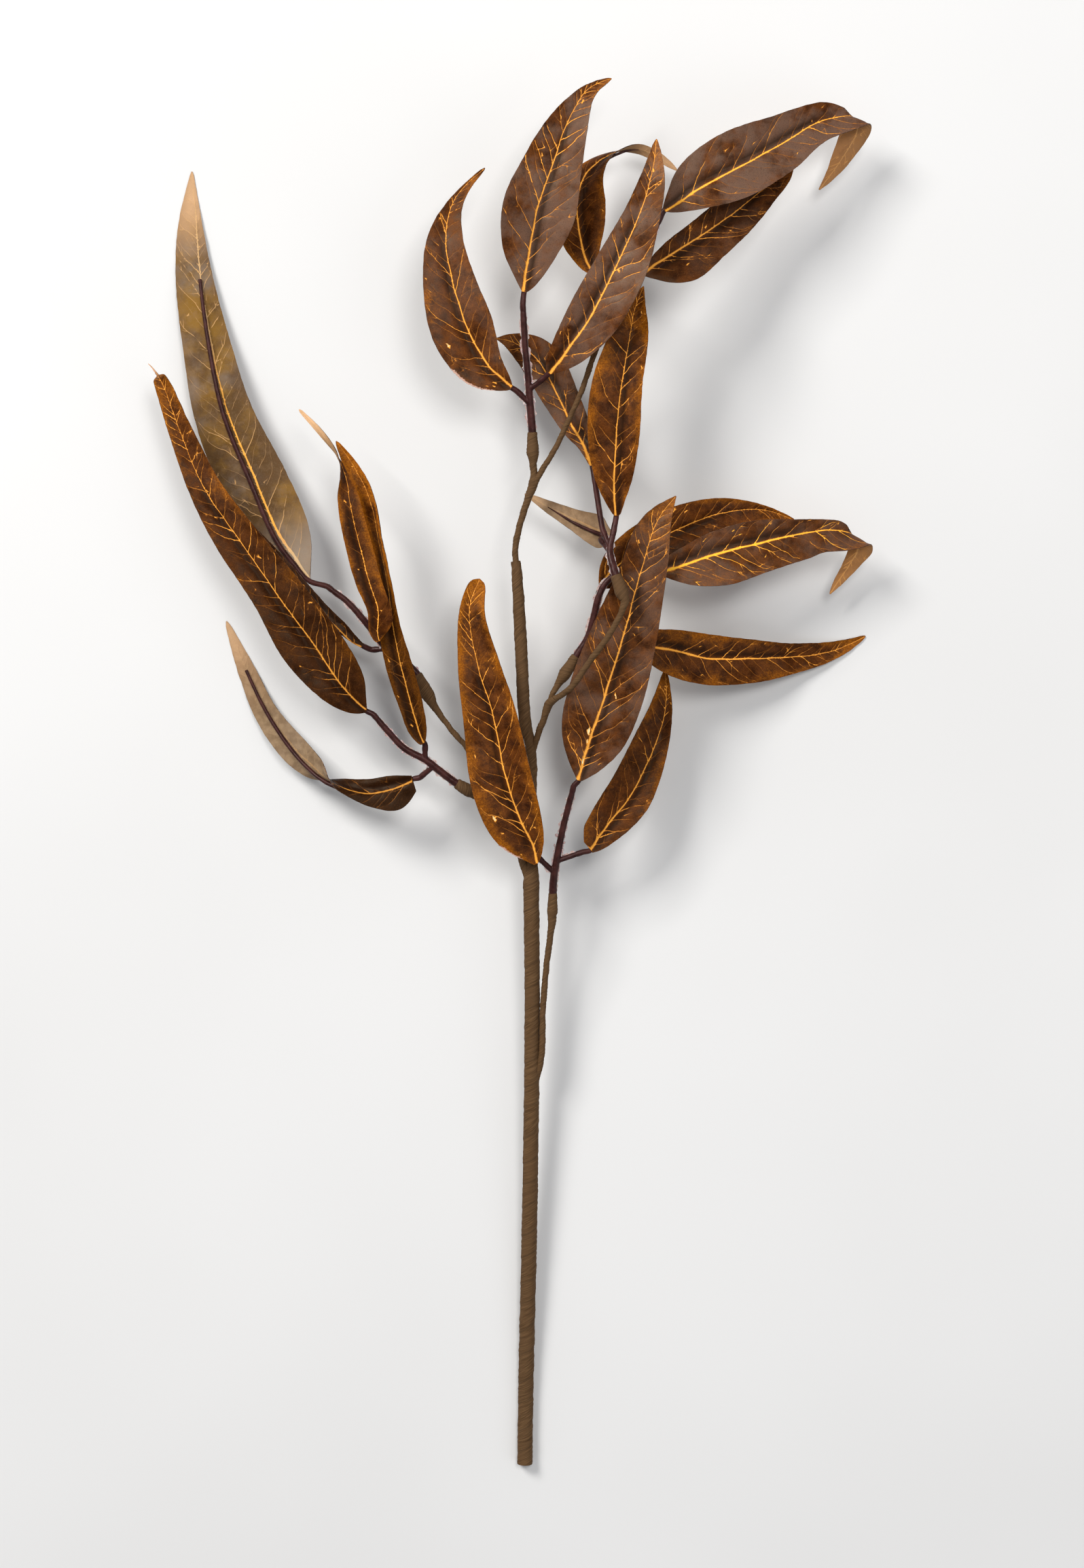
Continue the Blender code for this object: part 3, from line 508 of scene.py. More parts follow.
# a ragged fin along one side of a stem, with beads on its edge
def makeFlashAlong(rows, side, chance, bigBeads=()):
    points, radii = rows[:, :3], rows[:, 3]
    outward = unit(np.cross(tangentsOf(points), (0, 0, 1))) * side
    count = len(points)
    seed = chance.uniform(0, 50)
    reach = np.array([max(0.0, 0.34 + 1.5 * noiseAt(i * 0.11, seed, 0) + 0.35 * noiseAt(i * 0.5, seed, 3))
                      for i in range(count)])
    reach *= flashLook["widest"] * np.clip(np.minimum(np.arange(count), np.arange(count)[::-1]) / 5.0, 0, 1)
    up = np.array((0, 0, flashLook["thick"] / 2))
    inner = points + outward * (radii[:, None] - flashLook["tuckedIn"])
    outer = points + outward * (radii + 0.05 + reach)[:, None]
    middle = (inner + outer) / 2
    rings = np.stack((inner - up, middle - up, outer - up * 0.4, outer + up * 0.4, middle + up, inner + up,
                      inner - up), axis=1)
    things = [tubeFromRings("flash", rings)]
    beads = [(chance.uniform(0.1, 0.9), chance.uniform(*flashLook["beadRadius"]))
             for bead in range(flashLook["beads"])]
    for share, radius in beads + list(bigBeads):
        at = min(max(int(share * count), 2), count - 3)
        if reach[at] < 0.2 and radius < 0.5:
            continue
        centre = points[at] + outward[at] * (radii[at] + max(reach[at] * 0.8, radius * 0.6))
        deselectAll()
        bpy.ops.mesh.primitive_ico_sphere_add(subdivisions=2, radius=radius * mm,
                                              location=tuple((centre - boxCentre) * mm))
        ball = bpy.context.object
        ball.scale = [chance.uniform(*span) for span in flashLook["beadSquash"]]
        bpy.ops.object.transform_apply(location=True, rotation=True, scale=True)
        for vertex in ball.data.vertices:
            vertex.co += vertex.normal * flashLook["dent"] * mm * noise.noise(vertex.co * 900)
        things.append(ball)
    return things


# a sprig stem: main line and two stubs, melted together as the mould gives them
def buildSprig(key, collarEnd, axis, plastic, flash):
    sprig = sprigs[key]
    name, runOn = "sprig" + key.upper(), sprigLook["runOn"]
    way = np.vstack((collarEnd + sprigLook["lead"] * axis, sprig["path"]))
    endWay = unit(way[-1] - way[-2])
    radii = np.linspace(*sprigLook["radius"], len(way)) + sprigLook["swell"] * np.linspace(1, 0, len(way))
    main = np.vstack((collarEnd - sprigLook["seat"] * axis, way, way[-1] + runOn * endWay))
    main = np.column_stack((main, (radii[0], *radii, sprigLook["endRadius"])))
    chance = random.Random("sprig" + key)
    joints = {sprig["end"]: (way[-1], endWay)}
    parts = [makeMouldedTube(name, main, around=18, spacing=0.6, seed=5.0)]
    stubs = []
    for leaf, (root, joint) in sprig["stubs"].items():
        root, joint = np.array(root, dtype=float), np.array(joint, dtype=float)
        stubWay = unit(joint - root)
        joints[leaf] = (joint, stubWay)
        spots = (root, root * 0.6 + joint * 0.4, joint, joint + runOn * stubWay)
        rows = [(*spot, stubRadius * swell) for spot, swell in zip(spots, sprigLook["stubSwell"])]
        stubs.append(np.array(rows))
        parts.append(makeMouldedTube("stub", stubs[-1], around=16, spacing=0.5, seed=6.0))
    pinRadius, pinLength = sprigLook["pin"]
    for joint, pinWay in joints.values():
        rows = [(*(joint - pinWay), pinRadius), (*(joint + pinWay * pinLength), pinRadius)]
        parts.append(makeMouldedTube("pin", rows, around=10, spacing=0.5, seed=1.0))
    stem = joinPieces(parts, name)
    applyModifier(stem, "REMESH", mode="VOXEL", voxel_size=sprigLook["voxel"] * mm)
    applyModifier(stem, "SMOOTH", factor=0.5, iterations=4)
    bpy.ops.object.shade_smooth()
    finishPiece(stem, plastic, "maroon_plastic", "stem_" + key)
    fine = evenRows(main[1:-1], flashLook["step"])
    things = []
    for side in (-1, 1):
        things += makeFlashAlong(fine, side, chance, sprig.get("beads", {}).get(side, ()))
    for rows in stubs:
        shortRun = evenRows(rows, flashLook["step"])
        if len(shortRun) > flashLook["shortest"]:
            things += makeFlashAlong(shortRun, chance.choice((-1, 1)), chance)
    fin = joinPieces(things, "flash" + key.upper())
    bpy.ops.object.shade_smooth_by_angle(angle=math.radians(40))
    finishPiece(fin, flash, "maroon_plastic")
    return joints


# a leaf's usual values: dish in degrees, the rows that its rib runs between, the side of the shaded ridge,
# then its print (through is what shows of it from behind; its darkness is partly its own print and partly
# painted shade, and a low warm gives it more grey painted sheen), and what shapes its outline; chips are
# (share along, across, length, size)
plainLeaf = dict(dish=12, rib=(0, 5), ridge=1, warm=0.7, through=0.2, bold=0.9, tan=0.3, pale=0.2, net=0.85,
                 tone=1.0, toneTop=None, shift=1.7, base=1.0, taper=0.5, blunt=0.0, chips=(),
                 ribbon=(0.0, 0.28, 0.28),  # a strip drawn out past the tip: length, and width at its ends
                 frayed=(1, 2.0, 2.0),  # side, and where it starts and ends
                 ribRadius=(1.15, 0.55), ribEnd=0.3)
# rows of x, y, z, half width on each side, roll and heading in degrees; a row without them lies level and
# heads along the leaf
leaves = {
    "a1": dict(dish=14, rib=(1, 5), ridge=-1, frayed=(1, 0.03, 0.12), taper=0.1, blunt=2.2,
               warm=0.8, bold=0.8, net=0.9, tone=0.95, chips=[(0.2, 10.0, 1.4, 0.7)], rows=[
        (-3, 21, 38, 2, 2), (-6, 30, 40, 10, 7.5, -4), (-12, 43, 43, 15, 12.5, -6),
        (-20, 67, 45, 16, 15, -6), (-26, 99, 45, 13.5, 13, -6), (-32, 120, 44, 9.5, 12, -6),
        (-36, 148, 41, 5, 8, -4), (-31, 164, 38, 4.5, 5)]),
    "a2": dict(dish=14, rib=(0, 4), base=6.0, warm=0.6, tone=0.85, rows=[
        (24.5, 27.4, 34.4, 7, 1.5), (27, 29.6, 33.8, 11, 3.2, 4), (34, 39, 32, 12.6, 7.5, 8),
        (46, 54, 29, 15, 9.2, 8), (57, 78, 25, 13, 6.4, 6), (62.5, 99, 22, 9, 3, 4), (62, 118, 20, 1, 1)]),
    "a3": dict(dish=10, warm=0.25, bold=1.1, net=0.9, tone=0.9,
               chips=[(0.16, 3.4, 2.4, 0.7), (0.13, 2.6, 1.2, 0.5),
               (0.06, 1.6, 2.0, 0.65), (0.3, -4.0, 0.9, 0.5)], rows=[
        (18.4, 63.5, 42, 2.5, 2), (21, 70, 42, 9.5, 7.5), (26, 85, 42.6, 17, 15.5, -6),
        (34, 109, 44, 20, 17.5, -8), (42, 138, 46, 17, 15.5, -6), (48.5, 166, 47.5, 11, 13),
        (56.5, 192, 49, 8, 9), (66, 205, 48, 1, 1)]),
    "b1": dict(dish=8, rib=(0, 8), base=6.5, ribRadius=(1.3, 0.95), ribEnd=0.8, warm=0.65,
               through=0.1, bold=0.6, tan=0.0, pale=0.6, net=0.6, tone=0.15, rows=[
        (-65, 63, 31, 8, 2), (-74, 60, 30, 13, 5, 5), (-87, 57, 28.5, 8.6, 6, 20),
        (-98, 58, 26, 5.4, 5.6, 50), (-107, 61, 22, 7, 6.5, 95), (-116, 66, 17, 8, 6.5, 145),
        (-127, 76, 11, 8, 7, 172), (-140, 94, 4.6, 5.5, 6.8, 180), (-151, 116, 1, 4.5, 4.5, 180),
        (-161, 141, 0, 1, 1, 180)]),
    "b2": dict(dish=10, rib=(1, 6), ridge=-1, toneTop=1.0, warm=1.7, bold=0.5, pale=0.3, net=0.45,
               tone=0.36, rows=[
        (-59.6, 81.5, 38.4, 1.5, 2.5), (-63, 88, 38.4, 3.5, 6), (-67, 101, 38.4, 4.5, 7.6),
        (-72, 121, 38.6, 6, 7.4, -5), (-75, 138, 39, 6, 5.5, -15), (-77, 158, 39, 5, 4, -35),
        (-81, 182, 39, 5, 3.5, -40), (-86, 205, 38.6, 6.4, 3, -25), (-93, 219, 38, 5, 2.5),
        (-102, 232, 37.6, 0.8, 0.8)]),
    "b3": dict(dish=13, rib=(0, 6), ridge=-1, ribbon=(8.0, 0.5, 0.2), blunt=2.8, toneTop=0.85,
               warm=0.6, bold=0.55, pale=1.0, tone=0.45, rows=[
        (-87.8, 98, 38.4, 2, 2.5), (-92, 101, 39, 5.5, 9.5), (-101, 110, 40.4, 10, 14.5, 3),
        (-116, 132, 41, 14.6, 15.5, 5), (-134, 157, 40, 10.8, 14.5, 5), (-153, 185, 37, 10.3, 11, 3),
        (-169, 210, 34, 7, 9), (-181, 240, 31, 5.5, 5.8), (-190, 263, 28, 3.6, 3.2),
        (-196, 270.5, 26, 0.8, 0.8)]),
    "c1": dict(dish=8, rib=(0, 6), shift=2.5, ribRadius=(1.5, 1.0), ribEnd=0.85, warm=0.5,
               through=0.95, bold=0.75, tan=0.2, pale=0.6, net=0.62, rows=[
        (-117, 162.5, 24, 2, 2, 180), (-123, 169, 23, 11, 7, 180), (-133, 182, 21, 18, 12.5, 180),
        (-146, 211, 17, 18, 15.5, 180), (-160, 246, 13.4, 14.5, 15, 180), (-167, 278, 9, 11, 13.5, 180),
        (-172, 313, 4, 6.5, 12.5, 180), (-174, 341, 1, 3, 9.5, 180), (-176, 367, 0, 0.8, 0.8, 180)]),
    "c2": dict(dish=8, rib=(1, 5), ridge=-1, warm=0.75, bold=0.3, tan=0.4, pale=1.0, net=0.36,
               tone=0.9, rows=[
        (-81.4, 133, 43, 2, 8), (-83, 139, 44.4, 2.8, 10), (-83, 149, 45.4, 3.6, 8.2),
        (-87, 162, 46, 5, 7.8), (-92, 183, 46, 5.6, 7.4), (-96, 203, 46, 5, 5.8, 10),
        (-97.5, 215, 45, 3.6, 3, 55), (-101, 225, 43, 2.2, 2, 100), (-110, 237, 40.5, 1.6, 1.6, 150),
        (-120, 247.5, 38, 0.7, 0.7, 180)]),
    "c3": dict(dish=6, rib=(0, 4), warm=0.2, bold=0.6, pale=0.3, net=0.8, tone=0.5, rows=[
        (-90, 130, 28.4, 1.2, 1.2), (-94, 133, 29, 1.8, 2), (-100, 139, 30, 3, 2.8),
        (-109, 148, 31, 4, 2.8), (-120, 160, 31.6, 4.5, 3), (-132, 174, 31.4, 4, 2.8),
        (-145, 190, 30, 0.8, 0.8)]),
    "d1": dict(dish=14, ridge=-1, frayed=(1, 0.04, 0.2), taper=0.3, warm=0.38, bold=0.72, net=0.8,
               chips=[(0.27, 10.5, 0.9, 0.55)], rows=[
        (-15, 258, 48.4, 2, 2), (-19, 260.4, 48.8, 5, 5), (-27, 267, 49.6, 12, 9, 4),
        (-38, 286, 50.4, 16.5, 14.5, 4), (-45, 310, 50, 13.5, 12.5), (-47.4, 331, 48.4, 8.5, 9),
        (-43, 349, 45, 2, 5), (-28, 365, 40, 0.8, 0.8)]),
    "d2": dict(ridge=-1, warm=0.15, bold=1.0, rows=[
        (3.4, 265, 51, 2, 2), (6, 269.6, 53.4, 4.5, 6.5), (12, 278, 58, 7, 11.5, -4),
        (23, 294, 63, 10, 16, -6), (35.6, 318, 65, 9, 16.5, -6), (46.4, 340, 65, 7, 11, -4),
        (52.5, 358, 63, 5, 7), (55.4, 377, 58, 0.8, 0.8)]),
    "d3": dict(dish=14, warm=0.12, net=0.95, rows=[
        (-8.8, 304.4, 49.6, 2, 2), (-7.2, 310, 50.2, 7, 5.5), (-5, 321, 51, 14.5, 10.5, 4),
        (-1, 343, 52, 19, 17, 6), (6, 365, 51, 15.5, 13.5, 4), (13, 387, 48, 8.5, 10),
        (22, 402, 45, 2.5, 5), (34, 408, 41, 0.8, 0.8)]),
    "e1": dict(dish=8, rib=(0, 7), warm=0.85, through=0.1, pale=0.4, net=0.6, tone=0.9, rows=[
        (26.6, 313, 42.6, 2, 2), (24, 318.6, 41, 6, 4), (20, 335, 35, 12, 11), (19, 350, 31, 10, 12.5, -5),
        (23, 363, 28, 7, 9.5, -25), (31, 371, 25.6, 5, 5.5, -60), (39, 375, 23.6, 4, 3, -95),
        (48, 376, 21.4, 3.2, 2.8, -140), (57, 372.6, 19.4, 2.4, 2.4, -170), (67, 366, 18, 0.8, 0.8, -180)]),
    "e2": dict(ridge=-1, warm=0.0, bold=0.85, tan=0.85, pale=0.0, net=0.8, rows=[
        (59.6, 344, 48.6, 2, 2), (64, 347, 49, 6, 5.5), (73, 354, 48.6, 12.5, 11.5),
        (93, 365, 45.6, 16.6, 16.5), (116, 377.6, 40, 12.6, 15.2), (139, 389.6, 33, 8, 10),
        (154, 390.4, 27.4, 6, 8, 0, 150), (155.4, 383.6, 22, 7.6, 7, 0, 175),
        (150, 373.6, 18.6, 5.6, 6, 0, 180), (144, 364.6, 16.6, 2.6, 4.4, 0, 180),
        (138, 356.6, 15.6, 0.6, 0.8, 0, 180)]),
    "e3": dict(rib=(1, 5), warm=0.4, bold=0.85, net=0.75, tone=0.75, rows=[
        (49.6, 312.4, 57, 2, 2.5), (54, 314.8, 56, 5, 9), (64, 321, 51, 8, 15.2), (82, 333, 41, 9.8, 13),
        (97, 345, 33.6, 10, 11), (111, 357, 27.4, 8, 8.2), (121, 363.6, 24, 4, 4),
        (124.6, 368, 22.6, 1, 1)]),
    "f1": dict(dish=10, warm=0.22, bold=1.05, net=0.9, tone=0.95, rows=[
        (24.8, 220, 42, 1.5, 1.5), (22.6, 229.6, 39.6, 4.6, 4.4), (17, 239, 37, 7, 7),
        (10, 253, 34, 9.2, 8.6), (2, 267, 31, 10, 10.5), (-6, 276, 28, 9, 10.5),
        (-16, 281.6, 24.6, 5.6, 6), (-23, 283, 23, 1, 1)]),
    "f2": dict(warm=0.75, bold=0.75, net=0.8, tone=0.95, rows=[
        (36.6, 195.4, 50.8, 2, 1.8), (37, 201.6, 51.4, 6, 3.4), (37, 215, 52.6, 11.6, 7.6),
        (38, 235, 54, 15.8, 9.6), (40, 261, 55, 15.6, 9.2), (43, 284, 54.4, 10, 9.2), (46, 298, 53, 5, 6),
        (49.6, 307, 51.6, 0.8, 0.8)]),
    "f3": dict(dish=6, rib=(1, 4), warm=0.2, through=0.1, bold=0.7, tan=0.1, pale=0.25, net=0.6, rows=[
        (36, 184.6, 34, 5, 3, 180), (31, 185, 34, 8.6, 7, 180), (26, 187, 33.4, 9.4, 6.4, 180),
        (16, 191.6, 31, 7, 4, 180), (3, 199.4, 28, 3.4, 2.8, 180), (-4, 203.4, 26, 1.8, 1.4, 180),
        (-8.6, 205.8, 25, 0.7, 0.7, 180)]),
    "g1": dict(rib=(0, 4), bold=0.7, net=0.8, tone=0.9, rows=[
        (29, 159.6, 38.4, 3, 2), (34, 165, 37.8, 8.6, 8), (45, 174, 36, 12.4, 12), (66, 186, 32.6, 13, 13),
        (89, 195.6, 28, 8.4, 13), (110, 198, 24, 2.6, 9), (127, 192.4, 21, 0.8, 0.8)]),
    "g2": dict(ridge=-1, warm=0.3, bold=1.2, tan=1.0, pale=0.0, net=0.95, tone=0.95, rows=[
        (57, 167.4, 43.6, 2, 2), (63, 170, 43.4, 5, 8.6), (72, 173.4, 42.4, 7, 14),
        (88, 178.6, 40, 9.4, 18), (109, 183.4, 37, 9.8, 16.2), (130, 187.4, 33, 6, 13.8),
        (144, 188.4, 29.6, 4.6, 11), (156, 185.6, 25, 5, 9.6, 0, 138),
        (158.6, 178.4, 20, 4.6, 7.6, 0, 160), (155, 170.6, 17, 3.4, 6.6, 0, 180),
        (150, 163, 15.4, 2.4, 4.4, 0, 180), (145.4, 155.4, 14.6, 0.6, 0.8, 0, 180)]),
    "g3": dict(dish=10, ridge=-1, bold=0.95, tone=0.85, rows=[
        (44.6, 131.4, 35, 2, 2), (51, 131.8, 34, 6, 9), (64, 130, 31.4, 8.6, 14),
        (83, 125.4, 25.6, 10.4, 15), (105, 124, 15.6, 8.6, 13.6), (126, 123.4, 7.4, 6.8, 9.2),
        (145, 125, 2.4, 5.4, 5), (156, 128.8, 0.6, 3, 3), (165, 133.4, 0.6, 0.8, 0.8)]),
}
leaves = {key: {**plainLeaf, **leaf} for key, leaf in leaves.items()}


leafLook = {
    "leastWidth": 0.6,
    "dishPower": 1.4,
    "wave": 0.06,
    "waveTurns": (1.6, 2.8),
    "edgeStations": 1.3,  # for each millimetre of the leaf
    "gridStep": 1.9,
    "columns": 13,
    "overRib": (-2.2, -1.1, 0.0, 1.1, 2.2),  # columns that always run along the rib
    "cell": 0.16,  # points closer than this are one
    "rough": 0.16,
    "torn": 0.45,
    "ridgeShift": 0.9,
    "ridgeWidth": 1.6,
    "puff": 1.15,  # the sheet stands up beside the ridge, in millimetres
    "puffFrom": 2.3,
    "clear": 1.9,  # this near the middle it stays clear of the rib below it
    "sway": 0.7,
    "fine": 0.24,
    "pucker": 0.3,
    "groove": 0.12,
}


# where each station of a leaf stands, how it is turned, and how wide it is on each side
def leafStations(leaf, steps):
    rows = leaf["rows"]
    ways = tangentsOf(np.array([row[:3] for row in rows], dtype=float))
    headings = [row[6] if len(row) > 6 else math.degrees(math.atan2(way[1], way[0])) + 90
                for row, way in zip(rows, ways)]
    headings = np.degrees(np.unwrap(np.radians(headings)))
    stations = curveThrough([(*row, 0)[:6] + (heading,) for row, heading in zip(rows, headings)], steps)
    points = stations[:, :3]
    roll, heading = np.radians(stations[:, 5]), np.radians(stations[:, 6])
    across = np.stack((np.cos(heading) * np.cos(roll), np.sin(heading) * np.cos(roll), np.sin(roll)), axis=1)
    face = unit(np.cross(tangentsOf(points), across))
    widths = np.maximum(stations[:, 3:5], leafLook["leastWidth"])
    along = lengthsAlong(points)
    ribbonLong, ribbonWide, ribbonEnd = leaf["ribbon"]
    strip = np.interp(along[-1] - along, (0, ribbonLong), (ribbonEnd, ribbonWide))
    left = np.maximum(along[-1] - along - ribbonLong, 0)
    pointed = strip + leaf["taper"] * left + np.sqrt(2 * leaf["blunt"] * left)
    rounded = leaf["base"] + 1.1 * along
    # the least of the three, with its corners eased
    widths = (widths ** -5 + (pointed ** -5 + rounded ** -5)[:, None]) ** -0.2
    return points, across, face, widths


veinLook = {
    "midrib": (1.5, 0.32),  # half width at the base and at the tip, with its soft edge
    "sideSpacing": 7.2,
    "sideWidth": (0.36, 0.24),
    "strengths": (1.0, 0.85, 0.7, 0.6, 0.48, 0.38),  # one is drawn for each side vein
    "reach": (0.75, 1.9),
    "forkWidth": 0.22,
    "forkReach": (1.5, 5.5),
    "angle": (29.0, 42.0),
    "step": 1.25,
    "sway": 0.11,
    "broken": 0.42,  # strength left where the print is thin
    "forks": 0.075,  # chance of a fork at each step
    "scraps": 0.05,  # loose bits of net for each millimetre of leaf
    "scrapReach": (1.4, 4.5),
    "flecks": 0.03,
    "fleckSize": (0.3, 0.62),
    "chip": 2.2,  # strength above which the print is gone
    "puckerWidth": 2.6,  # the sheet is drawn in along each side vein
}


# the printed veins of one leaf, each a list of (across, along, half width, strength) in millimetres
def drawVeins(leaf, total, roomAt, chance):
    veins, puckers = [], []
    wide, thin = (width * leaf["bold"] for width in veinLook["midrib"])
    shift = leaf["shift"] * leaf["ridge"]
    wobble = chance.uniform(0, 90)

    def midribAt(t):
        share = t / total
        lean = shift * (1 - smoothStep(share, 0.3, 0.85))
        return lean * min(1.0, 0.35 + share * 9) + 0.3 * noiseAt(t / 9.0, wobble, 0)

    steps = int(total / veinLook["step"])
    midrib = []
    for step in range(steps + 1):
        t = total * (0.004 + 0.99 * step / steps)
        share = t / total
        width = wide + (thin - wide) * min(1.0, share * 1.15) ** 0.42
        width *= 1 + 0.4 * noiseAt(t / 2.2, wobble, 7)
        midrib.append((midribAt(t), t, width, 1.0 - 0.35 * smoothStep(share, 0.35, 1.0)))
    veins.append(midrib)

    def grow(s, t, side, heading, reach, width, strength, forks):
        line = [(s, t, width * 1.3, strength)]
        gone, sway = 0.0, 0.0
        while gone < reach:
            room = roomAt(t, side)
            share = abs(s) / max(room, 0.5)
            if t > total * 0.985 or share > 0.95 or share < -0.01:
                break
            turn = smoothStep(share, 0.55, 1.0)
            sway = sway * 0.7 + chance.gauss(0, veinLook["sway"])
            angle = heading * (1 - 0.6 * turn) + sway
            s += side * math.sin(angle) * veinLook["step"]
            t += math.cos(angle) * veinLook["step"]
            gone += veinLook["step"]
            fade = 1 - 0.55 * (gone / reach) ** 1.5
            broken = 1.0 if noiseAt(s * 0.23, t * 0.23, wobble + 20) > -0.34 else veinLook["broken"]
            line.append((s, t, width * (1 - 0.45 * gone / reach), strength * fade * broken))
            if forks and chance.random() < veinLook["forks"] and 2.0 < gone:
                lean = chance.choice((-1, 1)) * chance.uniform(0.45, 0.95)
                ahead = chance.uniform(*veinLook["forkReach"])
                grow(s, t, side, angle + lean, ahead, veinLook["forkWidth"], strength * 0.9, False)
        if len(line) > 2:
            veins.append(line)
        if forks and len(line) > 4 and strength > 0.5:
            puckers.append([(s, t, veinLook["puckerWidth"], 1.0) for s, t, wide, amount in line])

    for side in (1, -1):
        t = total * chance.uniform(0.03, 0.06)
        while t < total * 0.95:
            share = t / total
            room = roomAt(t, side)
            heading = math.radians(chance.uniform(*veinLook["angle"]) + 6 * (1 - share))
            strength = chance.choice(veinLook["strengths"]) * leaf["net"]
            reach = room / math.sin(heading) * chance.uniform(*veinLook["reach"])
            width = np.interp(share, (0, 1), veinLook["sideWidth"])
            grow(midribAt(t), t, side, heading, reach, width * chance.uniform(0.8, 1.15), strength, True)
            closer = 0.55 if share > 0.75 else 0.75 if share < 0.12 else 1.0
            t += veinLook["sideSpacing"] * closer * chance.uniform(0.7, 1.3)

    for scrap in range(int(total * veinLook["scraps"])):
        t = total * chance.uniform(0.06, 0.93)
        side = chance.choice((1, -1))
        s = side * roomAt(t, side) * chance.uniform(0.2, 0.9)
        heading = chance.uniform(0.1, 1.4)
        strength = chance.uniform(0.55, 1.0) * leaf["net"]
        for branch in range(chance.choice((1, 1, 2, 3))):
            ahead = chance.uniform(*veinLook["scrapReach"])
            grow(s, t, side, heading + branch * 1.5, ahead, veinLook["forkWidth"] * 1.1, strength, False)

    for fleck in range(int(total * veinLook["flecks"])):
        t = total * chance.uniform(0.05, 0.95)
        side = chance.choice((1, -1))
        s = side * roomAt(t, side) * chance.uniform(0.1, 0.92)
        size = chance.uniform(*veinLook["fleckSize"])
        veins.append([(s, t, size, 1.0), (s + 0.25, t + chance.uniform(0.1, 0.9), size * 0.8, 1.0)])
    for share, s, length, size in leaf["chips"]:  # print knocked off down to the pale cloth
        t = total * share
        veins.append([(s, t, size, veinLook["chip"]), (s + 0.3, t + length, size * 0.7, veinLook["chip"])])
    return veins, puckers


# how strongly the print colours each point: full on a vein's line, nothing past its half width
def veinStrength(spots, veins):
    near = np.zeros(len(spots))
    for line in veins:
        line = np.array(line)
        low, high = line[:, :2].min(axis=0) - 3.0, line[:, :2].max(axis=0) + 3.0
        inside = np.where(np.all((spots > low) & (spots < high), axis=1))[0]
        if not len(inside):
            continue
        here = spots[inside]
        starts, ends = line[:-1], line[1:]
        runs = ends[:, :2] - starts[:, :2]
        size = np.maximum((runs ** 2).sum(axis=1), 1e-9)
        t = ((here[:, None] - starts[None, :, :2]) * runs[None]).sum(axis=2) / size
        t = np.clip(t, 0, 1)
        spot = starts[None, :, :2] + t[:, :, None] * runs[None]
        away = np.linalg.norm(here[:, None] - spot, axis=2)
        width = starts[None, :, 2] + t * (ends[:, 2] - starts[:, 2])[None]
        strength = starts[None, :, 3] + t * (ends[:, 3] - starts[:, 3])[None]
        value = (np.clip(1 - away / width, 0, 1) * strength).max(axis=1)
        near[inside] = np.maximum(near[inside], value)
    return near


